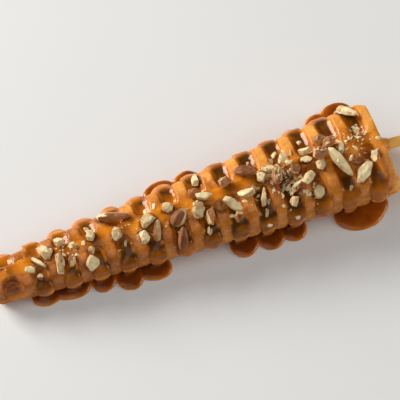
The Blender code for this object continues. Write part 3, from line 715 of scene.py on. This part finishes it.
def ridge_coat(chance):
    """The thin coat along the ridge, which spreads down the ribs and fades out there."""
    spread = {(rib, side): chance.uniform(0.0, COAT_SPREAD) * MM
              for rib in range(-2, POCKETS + 1) for side in (NEAR, FAR)}
    rings = []
    for x in np.arange(place_x(0) - 2.5 * MM, BASE_X - COAT_ENDS, COAT_STEP):
        middle = half_height(x)
        width = half_width(x)
        place = (x - place_x(0)) / PITCH
        on_rib = math.sin(math.pi * place) ** 2
        full = smoothstep(BASE_X - COAT_ENDS, BASE_X - COAT_FADES, x)
        edges = {}
        for side in (NEAR, FAR):
            wander = 0.5 * MM * noise(np.array([[x, side, 0.0]]), 6.0 * MM, 70)[0]
            edges[side] = COAT_HALF + wander + on_rib * spread[(math.floor(place), side)]
        ring = []
        for k in range(COAT_POINTS):
            y = edges[FAR] + (-edges[NEAR] - edges[FAR]) * k / (COAT_POINTS - 1)
            share = abs(y) / edges[FAR if y > 0.0 else NEAR]
            bumps = 0.5 * noise(np.array([[x, y, 0.0]]), 7.0 * MM, 71)[0]
            thick = (1.0 - 0.35 * on_rib + bumps) * full * (1.0 - share ** 2) * MM
            # Its edges dip into the crust.
            thick -= 0.35 * MM * max(share ** 6, 1.0 - full)
            ring.append((x, y, middle + arch(y, width, middle) + thick))
        ring += [(x, y, z - COAT_UNDER) for _, y, z in ring[::-1]]
        rings.append(ring)
    return loft("coat", rings)


def make_sauce():
    """All the sauce under one skin, rounded off as a thick liquid is."""
    chance = random.Random(11)
    filled = [(index, side) for side in (NEAR, FAR) for index in range(POCKETS)
              if (index, side) not in EMPTY_POCKETS]
    meshes = [drip(index, side, chance) for index, side in filled]
    meshes += [run_down(side, index) for side, row in RUNS.items() for index in row]
    meshes += [puddle(*place, chance) for place in PUDDLES]
    meshes += [filling(index, side, chance) for index, side in filled]
    meshes.append(ridge_coat(chance))
    sauce = skinned(joined("caramel_sauce", meshes), CARAMEL_VOXEL)
    points, _ = relaxed(sauce.data, 14, 0.5, 0.2)
    uneven = 0.20 * MM * rough(points, 6.0 * MM, 5, 2)
    points = points + normals(sauce.data) * uneven[:, None]
    points[:, 2] = np.maximum(points[:, 2], 0.0)
    move_to(sauce.data, points)
    return sauce


def behind(points, out, tree, most):
    """How far it is from each point, straight into the sauce, to a surface."""
    deep = np.full(len(points), most)
    for i, (point, way) in enumerate(zip(points, out)):
        into = -Vector(way)
        hit = tree.ray_cast(Vector(point) + into * 0.05 * MM, into, most)
        if hit[3] is not None:
            deep[i] = hit[3]
    return deep


def sauce_depth(caramel, points, in_puddle, waffle, nut_tree):
    """How deep the sauce looks at each vertex, from 0 to 1, with painted shade over the near row and
    round the almonds.
    """
    x, y, z = points.T
    out = normals(caramel.data)
    deep = np.minimum(behind(points, out, tree_of(caramel), DEEPEST),
                      behind(points, out, tree_of(waffle), DEEPEST))
    deep = smoothstep(*DEPTHS, deep)
    # A puddle is as deep as it is high over the floor.
    deep += in_puddle * (smoothstep(*PUDDLE_DEPTHS, z) - deep)
    # Light comes through the rounded lips over the flash.
    past_sill = smoothstep(-6.0 * MM, 1.0 * MM, np.abs(y) - half_width(x)) * (z > 6.0 * MM)
    deep *= 1.0 - np.where(y > 0.0, LIP_LIGHTER[FAR], LIP_LIGHTER[NEAR]) * past_sill
    # Painted shade over the near row of pockets, easing towards the base.
    less_row_shade = LESS_ROW_SHADE_AT_BASE * smoothstep(*ROW_SHADE_EASES_FROM, x) * (y < 0.0)
    deep *= np.interp(y, *NEAR_ROW_SHADE) * (1.0 - less_row_shade)
    # The coat on the ridge pools between the ribs and round the almonds.
    on_top = z > half_height(x)
    pooled = smoothstep(6.5 * MM, 4.0 * MM, np.abs(y)) * on_top
    between_ribs = np.cos(np.pi * (x - place_x(0)) / PITCH) ** 2
    blotches = IN_BLOTCHES * np.maximum(noise(points, 5.0 * MM, 77), 0.0)
    deep = np.maximum(deep, pooled * (ON_RIDGE + BETWEEN_RIBS * between_ribs + blotches))
    # Dark sauce and painted shade under the densest heaps of almonds.
    deep = np.maximum(deep, SAUCE_AND_SHADE_UNDER_NUTS * sauce_and_shade_patch_share(x, y) * on_top)
    deep = softened(caramel.data, deep, DEPTH_ROUNDS)
    # Sauce gathered round the almonds, darkened also as painted shade.
    deep = np.maximum(deep, nearness(points, nut_tree, SAUCE_AND_SHADE_ROUND_NUTS))
    return np.clip(deep + DEPTH_MOTTLE * rough(points, 7.0 * MM, 61), 0.0, 1.0)


def make_caramel(waffle, nut_tree):
    caramel = make_sauce()
    mesh = caramel.data
    points = places(mesh)
    in_puddle = smoothstep(*PUDDLE_BELOW, points[:, 2])
    write(mesh, "depth", sauce_depth(caramel, points, in_puddle, waffle, nut_tree))
    write(mesh, "low", in_puddle)
    painted(caramel, caramel_material())
    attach(caramel, "root")
    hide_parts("caramel")
    return caramel


# -------- the almonds

FLESH_LIGHT = (0.97, 0.81, 0.47)
FLESH_TAN = (0.50, 0.27, 0.085)
SKIN_LIGHT = (0.42, 0.145, 0.040)
SKIN_DARK = (0.11, 0.030, 0.009)
SKIN_TAN = (0.60, 0.26, 0.10)
# the colour of caramel taken up by a piece, and of the painted contact shade at its foot
SOAKED_AND_SHADED_BROWN = (0.34, 0.10, 0.010)

# Pieces by their numbers. All the others are chopped, dry and pale.
WHOLE_SKIN = (16, 28)
SMOOTH_SHAPES = (11, 14, 16, 17, 28, 32, 44)
# Brown skin on the side that faces a direction.
SKIN_FACING = {
    4: (0.0, 0.9, 0.45), 6: (-0.8, 0.3, 0.5), 8: (-0.9, 0.0, 0.4),
    11: (0.1, -0.6, 0.75), 14: (-0.7, -0.6, 0.2), 17: (-0.7, -0.2, 0.6), 19: (0.0, -0.4, 0.9),
    22: (0.7, 0.3, 0.6), 23: (-0.2, -0.3, 0.9), 24: (0.0, -0.2, 0.97), 26: (-0.4, -0.5, 0.75),
    32: (-0.2, -0.3, 0.93), 36: (0.2, -0.4, 0.9), 42: (0.0, -0.4, 0.9), 43: (-0.4, 0.1, 0.9),
    45: (0.2, -0.3, 0.93), 47: (0.0, -0.3, 0.95), 50: (0.8, -0.5, 0.2),
}
SHREDDED = (12, 25, 33, 37, 40)
TAN_PIECES = (4, 8, 14, 18, 19, 22, 23, 32, 34, 39, 43, 45)
SOAKED = {19: 0.6, 23: 0.7, 26: 0.4, 47: 0.5}
LUMPY = {3: 1.5, 4: 1.4, 18: 2.4, 34: 2.2, 35: 2.6, 42: 1.2}

ALMOND_COUNT = 50
PIECE_VOXEL = 0.30 * MM
CHOPS = 3
GROWN = 0.07                # before it is chopped, so that a piece keeps its size
CHOP_REACH = (0.55, 0.80)
CHAMFER = 0.15 * MM
# Broken flesh: sizes and heights of its steps, grain and dents.
STEPS = (3.6 * MM, 0.22 * MM)
STEPS_UP = 2.5              # steps to one unit of noise
GRAIN = (1.1 * MM, 0.08 * MM)
DENTS = (4.0 * MM, 0.7 * MM)
DENTED = 0.35               # how deep the dents are in pieces that aren't lumpy
FURROW = 0.16 * MM
TOASTED_PATCHES = 0.6
# painted shade on the narrow sides, along with their toasting
TOASTED_AND_SHADED_SIDES = 0.55
TOASTED_ALL_OVER = 0.5
# painted contact shade at the foot, along with the caramel taken up there
FOOT_SOAKED_AND_SHADED = 0.9


def almond_material():
    s = Shader("almond")
    skin = s.stored("skin")
    tan = s.stored("tan")
    grain = s.noise(0.9 * MM, 4.0, 0.7)
    blotch = s.noise(3.2 * MM, 3.0)
    # tan darkens the flesh for toasting, and for painted shade on the sides.
    flesh_tone = s.maths("ADD", s.range(blotch, 0.3, 0.75, 0.0, 0.42), s.maths("MULTIPLY", tan, 0.6),
                         clamp=True)
    flesh = s.ramp(flesh_tone, (0.0, FLESH_LIGHT), (1.0, FLESH_TAN))
    streak = s.stored("streak")
    skin_tone = s.maths("ADD", s.maths("MULTIPLY", streak, 0.75), s.maths("MULTIPLY", grain, 0.25),
                        clamp=True)
    hull = s.ramp(skin_tone, (0.2, SKIN_DARK), (0.8, SKIN_LIGHT))
    hull = s.mix(s.maths("MULTIPLY", tan, 0.55), hull, SKIN_TAN)
    edge = s.range(s.maths("ADD", skin, s.maths("MULTIPLY", grain, 0.3)), 0.55, 0.72)
    # Caramel taken up, and painted contact shade at the foot, over flesh and skin.
    colour = s.mix(s.stored("soaked_and_shaded"), s.mix(edge, flesh, hull), SOAKED_AND_SHADED_BROWN)
    s.set(Base_Color=colour, IOR=1.45, Subsurface_Weight=0.15,
          Subsurface_Scale=0.9 * MM, Roughness=0.55, Specular_IOR_Level=0.35)
    s.set(Subsurface_Radius=(1.0, 0.75, 0.45))
    s.bump(grain, 0.14 * MM, 0.5)
    return s.material


def long_axes(points):
    """Directions along, across and through a piece."""
    _, _, axes = np.linalg.svd(points - points.mean(0), full_matrices=False)
    return axes


def split_off(bm, chance):
    """Chop a few slanting faces off a piece, so that no two are alike."""
    centre = np.mean([v.co for v in bm.verts], axis=0)
    for v in bm.verts:
        v.co += GROWN * (v.co - Vector(centre))
    points = np.array([v.co for v in bm.verts])
    along = long_axes(points)[0]
    for _ in range(CHOPS):
        way = chance.choice((-1.0, 1.0)) * chance.uniform(0.3, 1.0) * along
        way = way + [chance.uniform(-0.8, 0.8) for _ in range(3)]
        way /= np.linalg.norm(way)
        reach = ((points - centre) @ way).max() * chance.uniform(*CHOP_REACH)
        parts = list(bm.verts) + list(bm.edges) + list(bm.faces)
        bmesh.ops.bisect_plane(bm, geom=parts, plane_co=centre + way * reach, plane_no=way,
                               clear_outer=True)
    bmesh.ops.delete(bm, geom=list(bm.edges) + list(bm.faces), context="EDGES_FACES")
    bmesh.ops.convex_hull(bm, input=list(bm.verts))


def chopped(mesh, smooth, lumpy, seed):
    """A piece with broken edges and a finely grained surface, from a faceted solid."""
    bm = bmesh.new()
    bm.from_mesh(mesh)
    bmesh.ops.dissolve_limit(bm, verts=bm.verts, edges=bm.edges, angle_limit=math.radians(1.0))
    if not smooth:
        split_off(bm, random.Random(seed))
        bmesh.ops.bevel(bm, geom=list(bm.edges), offset=CHAMFER, segments=1, profile=0.6,
                        affect="EDGES", clamp_overlap=True)
    bmesh.ops.triangulate(bm, faces=bm.faces)
    thing = skinned(link("piece", mesh_of("piece", bm)), PIECE_VOXEL)
    made = thing.data
    points, _ = relaxed(made, 10 if smooth else 1)
    if not smooth:
        (step_size, step), (grain_size, grain), (dent_size, dent) = STEPS, GRAIN, DENTS
        relief = step * np.round(STEPS_UP * rough(points, step_size, seed, 2)) / STEPS_UP
        relief += grain * rough(points, grain_size, seed + 7)
        relief -= dent * lumpy * smoothstep(0.22, 0.36, noise(points, dent_size, seed + 3))
        move_to(made, points + normals(made) * relief[:, None])
    bpy.data.objects.remove(thing)
    return made


def skin_share(number, points, out, local, axes):
    """1 where a piece has kept its brown skin, and 0 where it shows cut flesh."""
    if number in WHOLE_SKIN:
        return np.ones(len(points))
    if number in SKIN_FACING:
        facing = out @ np.array(SKIN_FACING[number])
        return smoothstep(0.35, 0.6, facing + 0.15 * noise(points, 2.4 * MM, number))
    if number in SHREDDED:
        # Shreds of skin are left along its edges.
        shreds = 0.8 * smoothstep(0.25, 0.5, noise(local * [0.3, 1.0, 1.0], 4.0 * MM, number))
        return shreds * smoothstep(0.4, 0.8, np.abs(out @ axes[1]))
    return np.zeros(len(points))


def finished_almond(number, solid):
    """A piece of almond, with what its shader needs to know of each vertex."""
    mesh = chopped(solid, number in SMOOTH_SHAPES, LUMPY.get(number, DENTED), 100 + 10 * number)
    points = places(mesh)
    out = normals(mesh)
    axes = long_axes(points)
    local = (points - points.mean(0)) @ axes.T
    skin = skin_share(number, points, out, local, axes)
    # The skin is furrowed along the nut.
    around = np.arctan2(local[:, 2], local[:, 1])
    swirl = np.stack([2.2 * np.cos(around), 2.2 * np.sin(around), local[:, 0] / (9.0 * MM)], 1)
    streak = rough(swirl, 0.42, 200 + number)
    move_to(mesh, points + out * (FURROW * skin * streak)[:, None])
    write(mesh, "skin", skin)
    write(mesh, "streak", np.clip(0.5 + 0.5 * streak, 0.0, 1.0))
    # The narrow sides are toasted, and darkened further as painted shade; the foot of a piece has
    # taken up caramel and is darkened as painted contact shade.
    tan = TOASTED_PATCHES * smoothstep(0.0, 0.8, rough(points, 4.5 * MM, 300 + number))
    tan += TOASTED_AND_SHADED_SIDES * smoothstep(0.8, 0.4, np.abs(out @ axes[2]))
    tan += TOASTED_ALL_OVER * (number in TAN_PIECES)
    write(mesh, "tan", np.clip(tan, 0.0, 1.0))
    foot = FOOT_SOAKED_AND_SHADED * smoothstep(1.8 * MM, 0.7 * MM, points[:, 2] - points[:, 2].min())
    write(mesh, "soaked_and_shaded", np.maximum(foot, SOAKED.get(number, 0.0)))
    return mesh


def make_almonds():
    groups = {"almonds_skinned": [], "almonds_cut": []}
    for number in range(1, ALMOND_COUNT + 1):
        node = f"almond_{number:02d}"
        has_skin = number in WHOLE_SKIN or number in SKIN_FACING
        members = groups["almonds_skinned" if has_skin else "almonds_cut"]
        members.append((node, finished_almond(number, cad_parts[node].data)))
    finish = almond_material()
    made = []
    for name, members in groups.items():
        thing = joined(name, [mesh for _, mesh in members])
        painted(thing, finish, 40.0)
        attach(thing, "root")
        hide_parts(*[node for node, _ in members])
        made.append(thing)
    return made, finish


# Small chips in the caramel: pocket, distance from the middle, length, width (mm) and turn (degrees).
CHIPS = (
    (0.95, -8.6, 5.6, 5.2, -20), (2.45, 1.6, 4.6, 4.0, -20), (3.0, 8.4, 5.6, 4.4, 71),
    (4.1, -7.6, 7.0, 4.2, 70), (5.1, 7.6, 7.0, 4.6, 70), (6.95, -19.8, 7.6, 3.0, 42),
    (7.95, -16.4, 4.8, 4.2, -20), (9.05, 14.4, 4.2, 3.8, -20), (10.0, 13.6, 7.2, 4.8, 69),
    (9.0, -21.0, 7.0, 3.8, 69), (10.3, 3.4, 4.8, 4.4, -20), (11.0, 15.6, 5.0, 4.2, -20),
    (12.95, 12.0, 5.0, 4.2, -20), (12.05, -24.6, 5.6, 3.4, 68), (12.8, 2.8, 4.8, 4.2, -20),
    (9.0, -27.0, 5.0, 4.0, -20), (10.0, -28.4, 5.0, 4.0, -20),
)


def shard(length, width, height, corners, chance):
    """A small angular bit about the origin, with its corners on an ellipsoid."""
    bm = bmesh.new()
    for _ in range(corners):
        way = Vector([chance.gauss(0.0, 1.0) for _ in range(3)]).normalized()
        bm.verts.new((way.x * 0.5 * length, way.y * 0.5 * width, way.z * 0.5 * height))
    bmesh.ops.convex_hull(bm, input=list(bm.verts))
    return bm


def drop(tree, x, y):
    """Highest point over a place on the ground, and which way it faces."""
    hit = tree.ray_cast(Vector((x, y, 0.2)), Vector((0.0, 0.0, -1.0)))
    if hit[0] is None:
        return Vector((x, y, 0.0)), Vector((0.0, 0.0, 1.0))
    return hit[0], hit[1]


def laid(bm, place, facing, turn, sink):
    """Turn a bit to the surface it lies on and set it there."""
    tilt = Vector((0.0, 0.0, 1.0)).rotation_difference(facing).to_matrix().to_4x4()
    bm.transform(Matrix.Translation(place - facing * sink) @ tilt @ Matrix.Rotation(turn, 4, "Z"))
    return mesh_of("bit", bm)


# Skin and tan of each kind of bit.
KINDS = {"cream": (0.0, 0.0), "tan": (0.0, 1.0), "skin": (1.0, 0.3)}


def finished_bits(name, meshes, kinds, finish):
    """One piece of many small bits, each of its own kind."""
    for number, (mesh, kind) in enumerate(zip(meshes, kinds)):
        skin, tan = KINDS[kind]
        count = len(mesh.vertices)
        write(mesh, "skin", np.full(count, skin))
        write(mesh, "streak", 0.5 + 0.5 * noise(places(mesh), 1.2 * MM, number))
        write(mesh, "tan", np.full(count, tan))
        write(mesh, "soaked_and_shaded", np.zeros(count))
    thing = joined(name, meshes)
    painted(thing, finish, 20.0)
    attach(thing, "root")
    return thing


def bits_on(ground, rows, chance, scale, height, corners, sunk):
    """Angular bits laid where a table puts them; height and sunk are shares of the width."""
    meshes = []
    for place, y, length, width, turn in rows:
        spot, facing = drop(ground, place_x(place), y * MM)
        bm = shard(length * scale * MM, width * scale * MM, height * width * MM, corners, chance)
        meshes.append(laid(bm, spot, facing, math.radians(turn), sunk * width * MM))
    return meshes


def make_chips(ground, finish):
    chance = random.Random(17)
    meshes = bits_on(ground, CHIPS, chance, scale=1.08, height=0.85, corners=24, sunk=0.255)
    kinds = ["tan" if number % 4 == 1 else "cream" for number in range(len(CHIPS))]
    return finished_bits("almond_chips", meshes, kinds, finish)


# Where crumbs lie thickest: pocket, distance from the middle, spread along and across (mm), count.
CRUMB_PATCHES = (
    (12.75, 4.0, 9.0, 8.0, 50), (13.0, 9.0, 4.0, 6.0, 22), (10.1, -9.0, 9.0, 12.0, 125),
    (9.8, -3.0, 10.0, 9.0, 85), (9.8, 4.0, 14.0, 6.0, 44), (12.3, -8.0, 12.0, 9.0, 26),
    (8.4, -9.0, 14.0, 7.0, 34), (6.2, -5.0, 16.0, 8.0, 34), (4.6, -4.0, 16.0, 7.0, 26),
    (2.0, -1.0, 20.0, 6.0, 30), (10.6, -18.0, 7.0, 7.0, 34), (11.6, 5.0, 8.0, 7.0, 20),
)
# Larger crumbs: pocket, distance from the middle, length, width (mm), turn (degrees) and kind.
LARGE_CRUMBS = (
    (0.8, 17.0, 5.0, 2.5, 35, "tan"), (0.9, -10.0, 5.0, 3.5, 0, "skin"),
    (3.0, 11.0, 4.5, 3.5, 10, "tan"), (2.3, 3.0, 5.0, 2.5, 20, "cream"),
    (2.7, 0.5, 3.5, 3.5, 0, "cream"), (3.8, -10.5, 3.5, 3.0, 15, "cream"),
    (5.4, 7.5, 4.5, 3.0, 60, "cream"), (6.9, -17.5, 3.0, 5.5, 0, "cream"),
    (8.2, -16.5, 2.0, 4.5, 0, "tan"), (7.8, -15.0, 3.0, 3.5, 40, "cream"),
    (8.8, -4.5, 5.0, 3.5, 10, "tan"), (9.2, -15.0, 4.5, 4.5, 0, "cream"),
    (10.5, -8.5, 3.0, 4.5, 0, "cream"), (12.2, 10.5, 3.5, 5.0, 0, "cream"),
    (12.3, -10.5, 4.5, 3.5, 30, "cream"), (12.9, -12.5, 3.5, 5.0, 0, "cream"),
    (9.7, -15.0, 3.0, 5.0, 0, "tan"), (9.9, 2.0, 3.5, 2.5, 0, "cream"),
    (10.1, -7.5, 3.5, 3.0, 25, "skin"), (11.0, -16.5, 5.5, 4.5, 0, "skin"),
    (11.8, -11.0, 3.0, 3.5, 0, "cream"), (9.6, -21.5, 2.5, 3.0, 0, "cream"),
    (9.8, -24.5, 2.5, 3.0, 0, "tan"), (9.1, 0.0, 3.0, 2.5, 0, "cream"),
    (13.0, 9.0, 3.0, 2.5, 0, "cream"), (13.2, 4.0, 3.5, 2.5, 30, "cream"),
    (13.5, -2.5, 3.5, 3.0, 0, "cream"), (10.3, 12.5, 5.0, 2.5, -60, "cream"),
    (10.5, 9.0, 2.0, 5.0, 0, "cream"), (9.8, 10.5, 5.0, 4.5, 20, "cream"),
    (10.3, 3.0, 6.0, 2.5, 0, "cream"), (9.6, -6.5, 4.5, 2.5, 50, "tan"),
    (10.0, -11.5, 4.0, 3.0, -40, "cream"), (10.3, -5.0, 3.5, 2.0, 70, "skin"),
    (9.5, -10.5, 4.0, 2.5, 20, "cream"), (10.5, -12.0, 3.5, 2.5, -30, "tan"),
    (9.8, -8.5, 3.5, 2.5, -60, "skin"),
)
CRUMB_CORNERS = 9
CRUMB_SUNK = 0.1            # of its width
SCATTER = 0.45              # of a patch's spread, as a standard deviation
SWEPT_OFF = 0.8             # share of the crumbs on an almond that don't stay there
CRUMB_KINDS = ("cream", "cream", "cream", "tan", "tan", "skin")


def make_crumbs(ground, nut_tree, finish):
    chance = random.Random(23)
    rows = [row[:-1] for row in LARGE_CRUMBS]
    kinds = [row[-1] for row in LARGE_CRUMBS]
    meshes = bits_on(ground, rows, chance, scale=1.15, height=0.7, corners=14, sunk=CRUMB_SUNK)
    for place, y, along, across, count in CRUMB_PATCHES:
        for _ in range(count):
            x = place_x(place) + chance.gauss(0.0, SCATTER) * along * MM
            side = (y + chance.gauss(0.0, SCATTER) * across) * MM
            spot, facing = drop(ground, x, side)
            size = (0.8 + 2.6 * chance.random() ** 1.7) * MM
            # Most crumbs lie between the almonds, and none on the lower half.
            on_nut = drop(nut_tree, x, side)[0].z > spot.z - 0.1 * MM
            if spot.z < half_height(x) or (on_nut and chance.random() < SWEPT_OFF):
                continue
            long, flat = chance.uniform(1.1, 1.9), chance.uniform(0.6, 1.0)
            bm = shard(size * long, size, size * flat, CRUMB_CORNERS, chance)
            turn = chance.uniform(0.0, 6.28)
            meshes.append(laid(bm, spot, facing, turn, CRUMB_SUNK * size))
            kinds.append(chance.choice(CRUMB_KINDS))
    return finished_bits("almond_crumbs", meshes, kinds, finish)


# -------- the stick

WOOD = ((0.93, 0.42, 0.06), (1.0, 0.58, 0.11), (1.0, 0.71, 0.20))
STICK_SIDES = 40
STICK_STEPS = 60
WORN_END = 0.7 * MM         # how far its ends are rounded


def wood_material():
    s = Shader("stick wood")
    grain = s.noise(1.1 * MM, 4.0, 0.6, 0.4, (0.06, 1.0, 1.0))
    broad = s.noise(7.0 * MM, 2.0, 0.5, 0.2, (0.15, 1.0, 1.0))
    tone = s.maths("ADD", s.maths("MULTIPLY", grain, 0.65), s.maths("MULTIPLY", broad, 0.35))
    wood = s.ramp(tone, *zip((0.30, 0.52, 0.75), WOOD))
    s.set(Base_Color=wood, Roughness=0.55)
    s.bump(grain, 0.08 * MM, 0.5)
    return s.material


def make_stick():
    """Round bar about the long axis of its solid, with a softly worn end."""
    points = places(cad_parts["stick"].data)
    centre = points.mean(0)
    way = Vector(long_axes(points)[0])
    if way.x < 0.0:
        way.negate()
    along = (points - centre) @ np.array(way)
    off_axis = np.linalg.norm((points - centre) - np.outer(along, np.array(way)), axis=1)
    radius = off_axis.max()
    half = 0.5 * (along.max() - along.min())
    middle = Vector(centre) + way * 0.5 * (along.max() + along.min())
    across = way.cross(Vector((0.0, 0.0, 1.0))).normalized()
    up = across.cross(way)
    # Distance along the axis and radius of each ring.
    even = half - WORN_END
    stops = [(-half, radius - WORN_END)]
    stops += [(even * (2.0 * i / STICK_STEPS - 1.0), radius) for i in range(STICK_STEPS + 1)]
    stops += [(half - 0.3 * WORN_END, radius - 0.3 * WORN_END), (half, radius - WORN_END)]
    rings = []
    for distance, size in stops:
        ring = []
        for angle in turns(STICK_SIDES):
            worn = size * (0.992 + 0.006 * math.sin(3.0 * angle + 40.0 * distance))
            ring.append(middle + way * distance
                        + (across * math.cos(angle) + up * math.sin(angle)) * worn)
        rings.append(ring[::-1])
    stick = link("wood_stick", loft("wood_stick", rings))
    painted(stick, wood_material(), 40.0)
    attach(stick, "root")
    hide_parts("stick")
    return stick


# -------- floor, light and camera

CAMERA_AZIMUTH = -19.97     # degrees; 0 looks along +Y
CAMERA_ELEVATION = 63.83
CAMERA_ROLL = -0.334
CAMERA_DISTANCE = 1.1628
CAMERA_TARGET = (0.0083, 0.0, 0.0342)
CAMERA_LENS = 170.4         # mm, on a sensor 36 mm wide


def make_floor():
    s = Shader("pale floor")
    s.set(Base_Color=(0.80, 0.80, 0.79), Roughness=0.75)
    bm = bmesh.new()
    bmesh.ops.create_grid(bm, x_segments=1, y_segments=1, size=6.0)
    floor = link("floor", mesh_of("floor", bm))
    floor.data.materials.append(s.material)


def aim(thing, towards):
    way = Vector(towards) - thing.location
    thing.rotation_mode = "QUATERNION"
    thing.rotation_quaternion = way.to_track_quat("-Z", "Y")


def area_light(name, place, width, height, power, colour):
    data = bpy.data.lights.new(name, "AREA")
    data.shape = "RECTANGLE"
    data.size = width
    data.size_y = height
    data.energy = power
    data.color = colour
    light = link(name, data)
    light.location = place
    aim(light, (0.0, 0.0, 0.02))


def make_light():
    area_light("window", (-1.36, 1.52, 1.06), 1.3, 0.95, 64.0, (1.0, 0.985, 0.96))
    area_light("overhead", (-0.9, -0.5, 1.9), 2.2, 2.2, 15.0, (1.0, 0.99, 0.975))
    area_light("right fill", (1.9, -0.7, 1.0), 1.4, 1.2, 17.0, (1.0, 0.99, 0.98))
    world = bpy.data.worlds.new("studio")
    world.use_nodes = True
    sky = world.node_tree.nodes["Background"].inputs
    sky["Color"].default_value = (0.96, 0.97, 1.0, 1.0)
    sky["Strength"].default_value = 0.08
    bpy.context.scene.world = world
    bpy.context.scene.view_settings.view_transform = "Standard"


def make_camera():
    data = bpy.data.cameras.new("camera")
    data.lens = CAMERA_LENS
    data.sensor_width = 36.0
    data.clip_start = 0.05
    camera = link("camera", data)
    azimuth = math.radians(CAMERA_AZIMUTH)
    elevation = math.radians(CAMERA_ELEVATION)
    back = Vector((math.sin(azimuth) * math.cos(elevation),
                   -math.cos(azimuth) * math.cos(elevation), math.sin(elevation)))
    camera.location = Vector(CAMERA_TARGET) + back * CAMERA_DISTANCE
    camera.rotation_mode = "QUATERNION"
    roll = Matrix.Rotation(math.radians(CAMERA_ROLL), 3, "Z")
    camera.rotation_quaternion = ((-back).to_track_quat("-Z", "Y").to_matrix() @ roll).to_quaternion()
    bpy.context.scene.camera = camera


def main():
    nuts, finish = make_almonds()
    nut_tree = tree_of(*nuts)
    waffle = make_waffle(nut_tree)
    caramel = make_caramel(waffle, nut_tree)
    make_chips(tree_of(caramel), finish)
    make_crumbs(tree_of(waffle, caramel, *nuts), nut_tree, finish)
    make_stick()
    make_floor()
    make_light()
    make_camera()


main()
